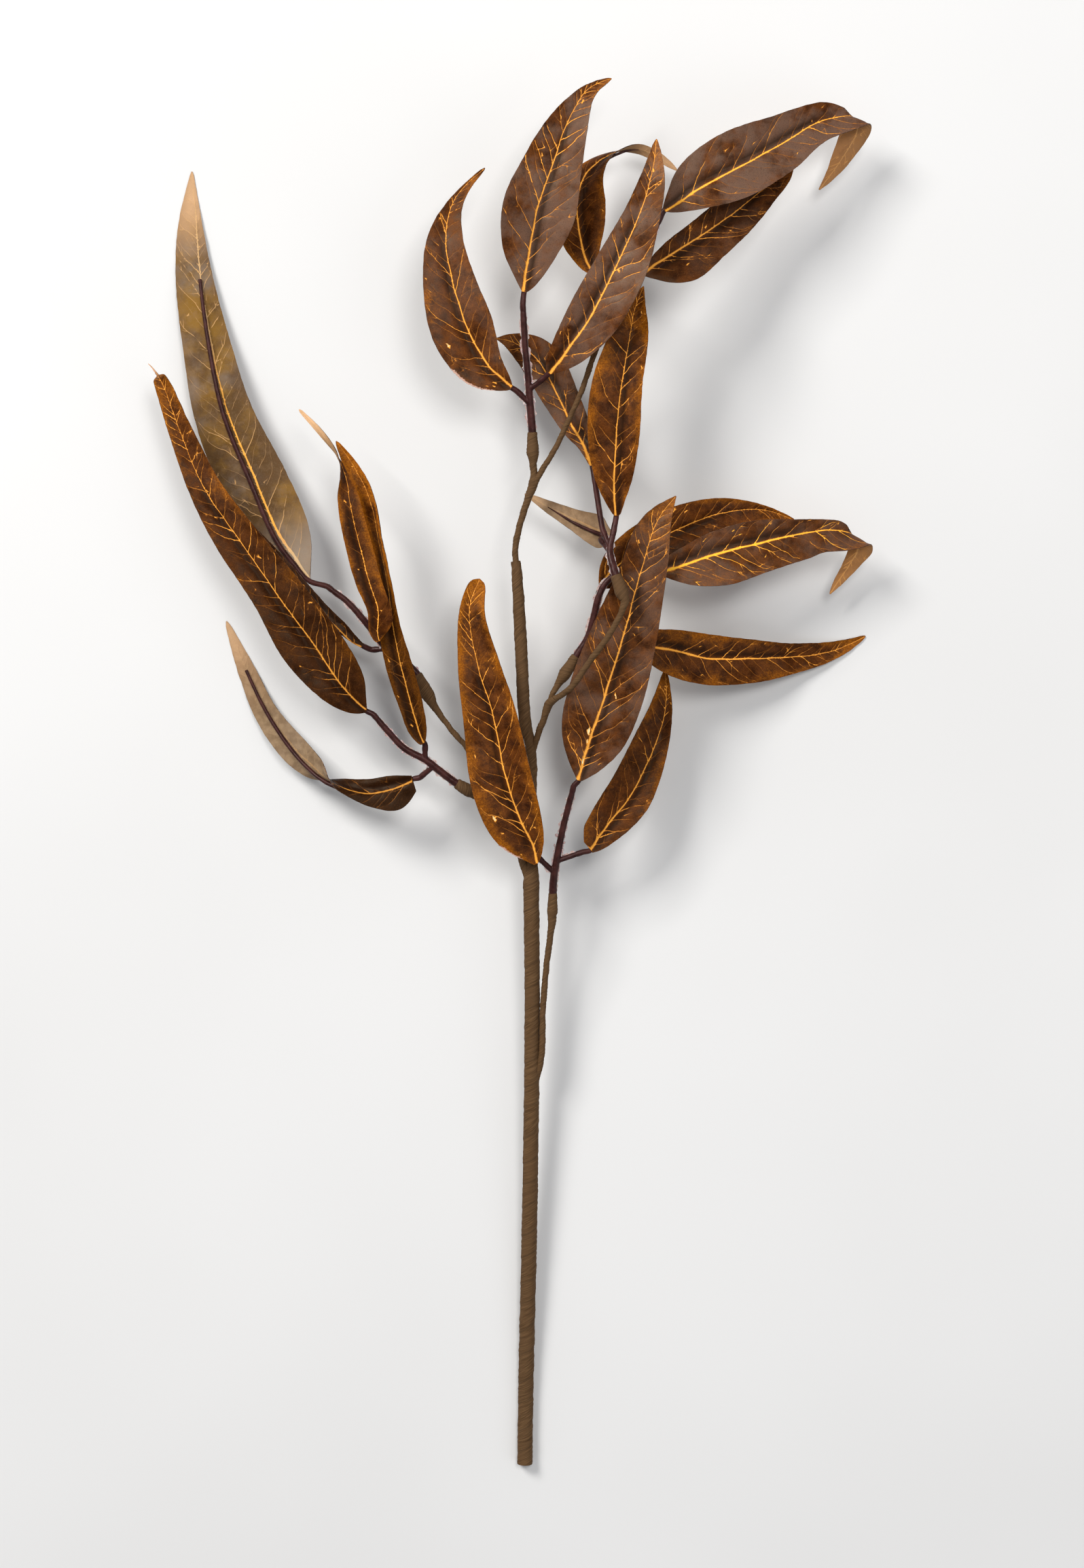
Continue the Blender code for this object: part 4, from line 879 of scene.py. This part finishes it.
# the sheet is laid out flat with the veins in it, then bent to its place in space
def makeLeafSheet(key, index):
    leaf = leaves[key]
    points, across, face, widths = leafStations(leaf, curveSteps)
    along = lengthsAlong(points)
    total = along[-1]
    chance = random.Random("leaf" + key)
    waveChance = random.Random(index)
    phases = [waveChance.uniform(0, 2 * math.pi) for side in range(2)]
    turns = [waveChance.uniform(*leafLook["waveTurns"]) for side in range(2)]

    def roomAt(t, side):
        return float(np.interp(t, along, widths[:, 0 if side > 0 else 1]))

    veins, puckers = drawVeins(leaf, total, roomAt, chance)
    edgeSeed = chance.uniform(0, 60)
    evenly = np.linspace(0, 1, int(total * leafLook["edgeStations"]) + 1)
    places = total * (0.6 * evenly + 0.2 - 0.2 * np.cos(math.pi * evenly))  # closer towards both ends
    frayedSide, frayedStart, frayedEnd = leaf["frayed"]
    cell = leafLook["cell"]

    def edgeAt(t, side):
        torn = 1.0 if side == frayedSide and frayedStart < t / total < frayedEnd else 0.0
        rough = leafLook["rough"] * noiseAt(t * 0.35, edgeSeed, 4.5 - 4.5 * side)
        torn *= 0.1 + leafLook["torn"] * noiseAt(t * 1.4, edgeSeed, 2)
        return roomAt(t, side) + rough + torn

    if frayedStart < 1:
        places = np.sort(np.concatenate((places, total * np.arange(frayedStart, frayedEnd, 0.6 / total))))
    left = [(t, edgeAt(t, 1)) for t in places]
    right = [(t, -edgeAt(t, -1)) for t in places]
    outline = right + left[::-1]
    seen = {(round(t / cell), round(s / cell)): place for place, (t, s) in enumerate(outline)}
    spots, runs = list(outline), []

    def add(s, t):
        place = (round(t / cell), round(s / cell))
        if not 0.4 < t < total - 0.4 or abs(s) > roomAt(t, s) - 0.3:
            return None
        if place not in seen:
            seen[place] = len(spots)
            spots.append((t, s))
        return seen[place]

    for line in veins:
        line = np.array(line)
        ways = np.gradient(line[:, :2], axis=0)
        ways /= np.maximum(np.linalg.norm(ways, axis=1, keepdims=True), 1e-9)
        before = None
        for (s, t, width, strength), way in zip(line, ways):
            here = add(s, t)
            if None not in (before, here) and before != here:
                runs.append((before, here))  # an edge of the mesh follows each vein
            before = here
            for side in (1, -1):
                for reach in (width, width * 0.5) if width > 0.8 else (width,):
                    add(s + side * way[1] * reach, t - side * way[0] * reach)
    for t in np.arange(0.8, total, leafLook["gridStep"]):
        for share in np.linspace(-1, 1, leafLook["columns"] + 2)[1:-1]:
            add(share * roomAt(t, share), t)
        for s in leafLook["overRib"]:
            add(s, t)

    made = delaunay_2d_cdt([Vector(spot) for spot in spots], runs, [list(range(len(outline)))], 1, 1e-4)
    flat = np.array([tuple(corner) for corner in made[0]])
    faces = [tuple(face) for face in made[2]]
    t, s = flat[:, 0], flat[:, 1]
    room = np.where(s >= 0, np.interp(t, along, widths[:, 0]), np.interp(t, along, widths[:, 1]))
    share = np.clip(s / room, -1.02, 1.02)
    station = t / total

    def carried(values):
        return np.stack([np.interp(t, along, column) for column in values.T], axis=1)

    lift = math.tan(math.radians(leaf["dish"]))
    wave = np.where(s >= 0, np.sin(2 * math.pi * turns[0] * station + phases[0]),
                    np.sin(2 * math.pi * turns[1] * station + phases[1]))
    height = lift * room * np.abs(share) ** leafLook["dishPower"]
    height = height + leafLook["wave"] * room * wave * share ** 2
    sideways = flat[:, ::-1]
    vein, midrib = veinStrength(sideways, veins), veinStrength(sideways, veins[:1])
    ribStart, ribEnd = along[np.minimum(np.array(leaf["rib"]) * curveSteps, len(along) - 1)]
    overRib = smoothStep(ribEnd + 6 - t, 0, 14) * smoothStep(t, ribStart - 6, ribStart + 4)
    # painted shade: a dark band in the groove beside the rib, where the sheet dips between its puffed halves
    fromRidge = s + leafLook["ridgeShift"] * leaf["ridge"]
    ridge = np.exp(-(fromRidge / leafLook["ridgeWidth"]) ** 2) * overRib
    puff = (1 - np.exp(-(fromRidge / leafLook["puffFrom"]) ** 2)) * (1 - share ** 2) * (0.25 + 0.75 * overRib)
    drawnIn = smoothStep(veinStrength(sideways, puckers), 0, 1) * smoothStep(1 - np.abs(share), 0.02, 0.3)
    bumps = np.array([noiseAt(a * 0.055, b * 0.055, edgeSeed) for a, b in flat])
    fine = np.array([noiseAt(a * 0.2, b * 0.2, edgeSeed + 5) for a, b in flat])
    relief = leafLook["puff"] * puff + leafLook["sway"] * bumps + leafLook["fine"] * fine
    relief = relief - leafLook["pucker"] * drawnIn - leafLook["groove"] * vein
    overLine = np.exp(-(s / leafLook["clear"]) ** 2) * smoothStep(ribEnd + 3 - t, 0, 3)
    height = height + relief * (1 - overLine) + np.maximum(relief, 0.1) * overLine
    up = unit(carried(face))
    bent = carried(points) + carried(across) * (share * room)[:, None] + up * height[:, None]
    lowest = np.where(up[:, 2] > 0, bladeThick, 0) + 0.02  # both faces stay off the table
    bent[:, 2] = np.maximum(bent[:, 2], lowest)
    mesh = bpy.data.meshes.new("leaf" + key.upper())
    mesh.from_pydata(((bent - boxCentre) * mm).tolist(), [], faces)
    values = {
        "vein": vein,
        "midrib": midrib,
        "ridge": ridge,
        "edge": smoothStep(np.abs(share), 0.45, 1.0),
        "along": station,
    }
    values.update({name: np.full(len(s), leaf[name]) for name in ("warm", "through", "tan", "pale")})
    # how dark the leaf is, from its lower to its upper part: partly its own print, partly painted shade on
    # leaves that lie in shade
    values["tone"] = np.interp(station, (0.3, 0.6), (leaf["tone"], leaf["toneTop"] or leaf["tone"]))
    torn = (np.sign(s) == frayedSide) * smoothStep(station, frayedStart - 0.02, frayedStart + 0.02)
    torn = torn * smoothStep(-station, -frayedEnd - 0.02, -frayedEnd + 0.02)
    values["frayed"] = torn * smoothStep(np.abs(s) - room, -1.0, -0.1)
    for name, data in values.items():
        mesh.attributes.new(name, "FLOAT", "POINT").data.foreach_set("value", data.astype(np.float32))
    mesh.update()
    return mesh


def buildLeaf(key, index, front, back, cut):
    deselectAll()
    sheet = bpy.data.objects.new("leaf" + key.upper(), makeLeafSheet(key, index))
    bpy.context.scene.collection.objects.link(sheet)
    for material in (front, back, cut):
        sheet.data.materials.append(material)
    applyModifier(sheet, "SOLIDIFY", thickness=bladeThick * mm, offset=-1.0, material_offset=1,
                  material_offset_rim=2)
    bpy.ops.object.shade_smooth_by_angle(angle=math.radians(42))
    finishPiece(sheet, None, "printed_fabric", "blade_" + key)


ribLook = {
    "steps": 8,  # stations from one row of the leaf to the next
    "gap": 0.3,
    "sleeveRadius": 1.56,
    "sleeveDepth": 3.8,
    "petioleRadius": 1.35,
    "sunk": 0.85,
}


# the plastic rib: sleeve over the stub's pin, petiole, then a tapering line bonded under the blade
def buildRib(key, joint, way, plastic):
    leaf = leaves[key]
    points, across, face, widths = leafStations(leaf, ribLook["steps"])
    first, last = (row * ribLook["steps"] for row in leaf["rib"])
    points, face = points[first:last + 1], face[first:last + 1]
    radii = np.linspace(*leaf["ribRadius"], len(points))
    radii[-10:] *= np.linspace(1, leaf["ribEnd"], 10)
    under = points - face * (bladeThick + radii * ribLook["sunk"] + 0.05)[:, None]
    start = joint + ribLook["gap"] * way
    sleeve = ribLook["sleeveRadius"]
    lead = evenRows([(*start, stubRadius + 0.08), (*(start + way), sleeve - 0.04),
                     (*(start + 1.8 * way), sleeve), (*(joint + ribLook["sleeveDepth"] * way), sleeve - 0.08),
                     (*under[0], ribLook["petioleRadius"]), (*under[8], radii[8])], 0.6)
    rows = np.vstack((lead, np.column_stack((under[9:], radii[9:]))))
    tube = makeMouldedTube("rib" + key.upper(), rows, around=14, spacing=1.0, seed=2.0)
    finishPiece(tube, plastic, "maroon_plastic", "rib_" + key)


# the printed face: brown with orange mottling, bright veins and a fine cloth grain, with grey patches of dust
# and painted sheen, and painted shade beside the rib and on leaves lying in shade
def makeLeafFront():
    material = newMaterial("leafPrint", 0.45, Specular_Tint=(1.0, 0.78, 0.55))
    vein, ridge, edge, along, warm = map(painted, ("vein", "ridge", "edge", "along", "warm"))
    tanned, pale, toneAndShadeDark = painted("tan"), painted("pale"), minus(1.0, painted("tone"))
    clouds = grain(48.0, 4.0, 0.6)
    blots = grain(150.0, 5.0, 0.68)
    dots = grain(1150.0, 3.0, 0.65)
    ground = blend(spread(blots, 0.27, 0.72), (0.022, 0.004, 0.0003), (0.128, 0.035, 0.005))
    # grey patches, partly dust and partly a painted sheen where light would catch the satin print; most on
    # leaves with little warmth
    dustAndSheen = times(spread(clouds, 0.4, 0.6), spread(warm, 0.0, 0.6, 0.85, 0.1))
    ground = blend(dustAndSheen, ground, (0.136, 0.076, 0.052))
    tip = times(spread(along, 0.72, 1.0), 0.55)
    rim = times(edge, times(warm, 0.6))
    heat = plus(plus(tip, rim), times(warm, 0.3))
    for mottle, weight in ((clouds, 1.8), (blots, 0.7), (dots, 0.3)):
        heat = plus(heat, times(minus(mottle, 0.5), weight))
    burnt = blend(spread(dots, 0.35, 0.65), (0.212, 0.058, 0.003), (0.39, 0.12, 0.005))
    ground = blend(spread(heat, 0.3, 1.0, 0.0, 0.92), ground, burnt)
    # darkening of the whole leaf: partly its own darker print, partly painted shade
    ground = blend(toneAndShadeDark, ground, (0.01, 0.0025, 0.0))
    weave = grain(2100.0, 2.0, 0.7)
    ground = blend(spread(weave, 0.52, 0.72, 0.0, 0.5), ground, (0.028, 0.008, 0.002))
    ground = blend(spread(weave, 0.46, 0.3, 0.0, 0.25), ground, (0.22, 0.095, 0.03))
    # painted shade in the groove beside the rib
    ground = blend(times(ridge, 0.88), ground, (0.014, 0.0045, 0.0018))
    ragged = plus(vein, times(minus(dots, 0.5), 0.4))
    ragged = plus(ragged, times(minus(blots, 0.52), 0.35))
    glow = blend(spread(ragged, 0.3, 0.8), (0.58, 0.2, 0.03), (0.94, 0.4, 0.06))
    lemon = times(spread(ragged, 0.5, 0.95), spread(tanned, 0.7, 1.0, 0.1, 1.0))
    glow = blend(lemon, glow, (1.0, 0.56, 0.03))
    halo = spread(vein, 0.02, 0.32, 0.0, 0.5)
    ground = blend(halo, ground, (0.26, 0.085, 0.01))
    colour = blend(spread(ragged, 0.26, 0.6), ground, glow)
    bare = blend(spread(dots, 0.35, 0.65), (0.7, 0.5, 0.22), (0.86, 0.74, 0.42))
    colour = blend(spread(vein, 1.05, 1.35), colour, bare)
    lastBit = times(spread(along, 0.95, 0.98), spread(pale, 0.6, 0.9))
    colour = blend(times(lastBit, 0.85), colour, (0.62, 0.35, 0.19))
    # the same darkening, partly painted shade, also dims the veins
    colour = blend(times(toneAndShadeDark, 0.5), colour, (0.01, 0.0025, 0.0))
    torn = plus(painted("frayed"), minus(dots, 0.5))
    colour = blend(spread(torn, 0.45, 0.8), colour, (0.56, 0.34, 0.26))
    feed("Base Color", colour)
    feed("Roughness", spread(blots, 0.35, 0.7, 0.38, 0.56))
    feed("Specular IOR Level", spread(warm, 0.2, 0.8, 0.17, 0.08))
    cloth = grain(2600.0, 2.0, 0.6)
    bump((plus(times(vein, -0.6), blots), 0.35, 0.0005), (cloth, 0.3, 0.00009))
    return material


# the plain beige back, with a little of the print come through
def makeLeafBack():
    material = newMaterial("leafBack", 0.68, Specular_IOR_Level=0.2, Sheen_Weight=0.05)
    vein, edge, along, through, tanned = map(painted, ("vein", "edge", "along", "through", "tan"))
    clouds = grain(27.0, 5.0, 0.6)
    blots = grain(210.0, 4.0, 0.65)
    shades = plus(grain(46.0, 5.0, 0.6), spread(along, 0.6, 0.35, 0.0, 0.1))
    threads = grain(1900.0, 2.0, 0.6)
    plain = blend(spread(blots, 0.35, 0.68), (0.18, 0.115, 0.063), (0.295, 0.2, 0.115))
    tipped = times(spread(along, 0.6, 0.9), painted("pale"))
    plain = blend(times(tanned, 0.85), plain, (0.49, 0.21, 0.058))
    peach = blend(spread(along, 0.78, 0.96), (0.42, 0.235, 0.11), (0.7, 0.42, 0.22))
    plain = blend(tipped, plain, peach)
    printed = blend(spread(clouds, 0.38, 0.54), (0.178, 0.125, 0.084), (0.205, 0.1, 0.01))
    printed = blend(spread(shades, 0.42, 0.68, 0.0, 0.85), printed, (0.06, 0.027, 0.007))
    printed = blend(spread(along, 0.2, 0.04, 0.0, 0.75), printed, (0.3, 0.235, 0.175))
    amount = times(through, spread(along, 0.72, 0.94, 1.25, 0.0), True)
    amount = times(amount, spread(blots, 0.25, 0.6, 0.7, 1.1), True)
    ground = blend(amount, plain, printed)
    faint = plus(spread(through, 0.0, 1.0, 0.1, 0.5), times(tanned, 0.5))
    faint = times(spread(vein, 0.1, 0.5), faint)
    ground = blend(times(tanned, spread(blots, 0.45, 0.7, 0.0, 0.45)), ground, (0.24, 0.1, 0.03))
    ground = blend(faint, ground, blend(tanned, (0.5, 0.31, 0.15), (0.75, 0.35, 0.09)))
    strong = times(spread(vein, 0.25, 0.6), times(through, amount))
    ground = blend(times(strong, 0.55), ground, (0.6, 0.32, 0.1))
    middle = times(spread(painted("midrib"), 0.12, 0.4), through)
    middle = times(middle, spread(along, 0.8, 0.96, 0.9, 0.2))
    paler = blend(spread(along, 0.45, 0.66), (0.95, 0.42, 0.05), (0.62, 0.38, 0.17))
    paler = blend(spread(along, 0.16, 0.05), paler, (0.62, 0.42, 0.22))
    ground = blend(middle, ground, paler)
    ground = blend(times(edge, 0.18), ground, (0.16, 0.09, 0.045))
    ground = blend(spread(threads, 0.5, 0.8, 0.0, 0.3), ground, (0.2, 0.14, 0.09))
    feed("Base Color", ground)
    bump((plus(blots, times(vein, 0.5)), 0.3, 0.0004), (threads, 0.35, 0.0001))
    return material


# the cut edge: dark with pale frayed spots
def makeLeafCut():
    material = newMaterial("leafCut", 0.75, Specular_IOR_Level=0.2)
    frayed = grain(420.0, 4.0, 0.65)
    colour = blend(spread(frayed, 0.46, 0.66), (0.045, 0.021, 0.012), (0.26, 0.15, 0.085))
    feed("Base Color", colour)
    bump((frayed, 0.3, 0.0002))
    return material


# plain pale floor, soft studio light and the photograph's own view
stageLook = {
    "floorSize": 6.0,
    "cameraPlace": (0.0, 220.24, 1575.3),  # in the tables' millimetres
    "pitch": 5.9,
    "lens": 70.86,
}


def buildFloor():
    deselectAll()
    bpy.ops.mesh.primitive_plane_add(size=stageLook["floorSize"], location=(0, 0, 0))
    floor = bpy.context.object
    floor.name = "floor"
    material = newMaterial("paleFloor", 0.85, Specular_IOR_Level=0.2)
    clouds = grain(2.2, 3.0, 0.5)
    grit = grain(900.0, 2.0, 0.6)
    colour = blend(spread(clouds, 0.3, 0.7), (0.68, 0.676, 0.668), (0.72, 0.717, 0.71))
    feed("Base Color", colour)
    bump((grit, 0.1, 0.0001))
    floor.data.materials.append(material)


def addAreaLight(name, place, target, width, power, colour):
    deselectAll()
    bpy.ops.object.light_add(type="AREA", location=place)
    lamp = bpy.context.object
    lamp.name = name
    lamp.data.shape = "SQUARE"
    lamp.data.size = width
    lamp.data.energy = power
    lamp.data.color = colour
    lamp.rotation_euler = (Vector(target) - Vector(place)).to_track_quat("-Z", "Y").to_euler()


def buildStudio():
    buildFloor()
    addAreaLight("windowLight", (-1.5, 1.7, 1.9), (0, 0.1, 0), 1.0, 80, (1.0, 0.985, 0.96))
    addAreaLight("overheadLight", (0.5, 0.9, 2.6), (0, 0.1, 0), 0.8, 30, (1.0, 0.99, 0.98))
    addAreaLight("fillLight", (1.8, -0.9, 1.9), (0, 0, 0), 2.0, 10, (0.95, 0.97, 1.0))
    bpy.context.scene.view_settings.view_transform = "Standard"
    world = bpy.data.worlds.new("studioAir")
    bpy.context.scene.world = world
    world.use_nodes = True
    world.node_tree.nodes["Background"].inputs["Color"].default_value = (0.93, 0.95, 1.0, 1)
    world.node_tree.nodes["Background"].inputs["Strength"].default_value = 0.32
    place = (np.array(stageLook["cameraPlace"]) - boxCentre) * mm
    bpy.ops.object.camera_add(location=tuple(place), rotation=(-math.radians(stageLook["pitch"]), 0, 0))
    camera = bpy.context.object
    camera.name = "photoCamera"
    camera.data.lens = stageLook["lens"]
    camera.data.sensor_width = 36.0
    camera.data.sensor_fit = "AUTO"
    bpy.context.scene.camera = camera


tape, wire, plastic, flash = makeTape(), makeWire(), makePlastic(), makeFlash()
front, back, cut = makeLeafFront(), makeLeafBack(), makeLeafCut()
buildTrunk(tape, wire)
print("trunk wound")
joints = {}
for number, key in enumerate(branches):
    collarEnd, axis = buildBranch(key, tape, 11.0 + number * 3.7)
    joints.update(buildSprig(key, collarEnd, axis, plastic, flash))
print("branches and sprigs in place:", len(branches))
for index, key in enumerate(leaves):
    buildLeaf(key, index, front, back, cut)
    buildRib(key, *joints[key], plastic)
print("leaves in place:", len(leaves))
buildStudio()
print("stage set")
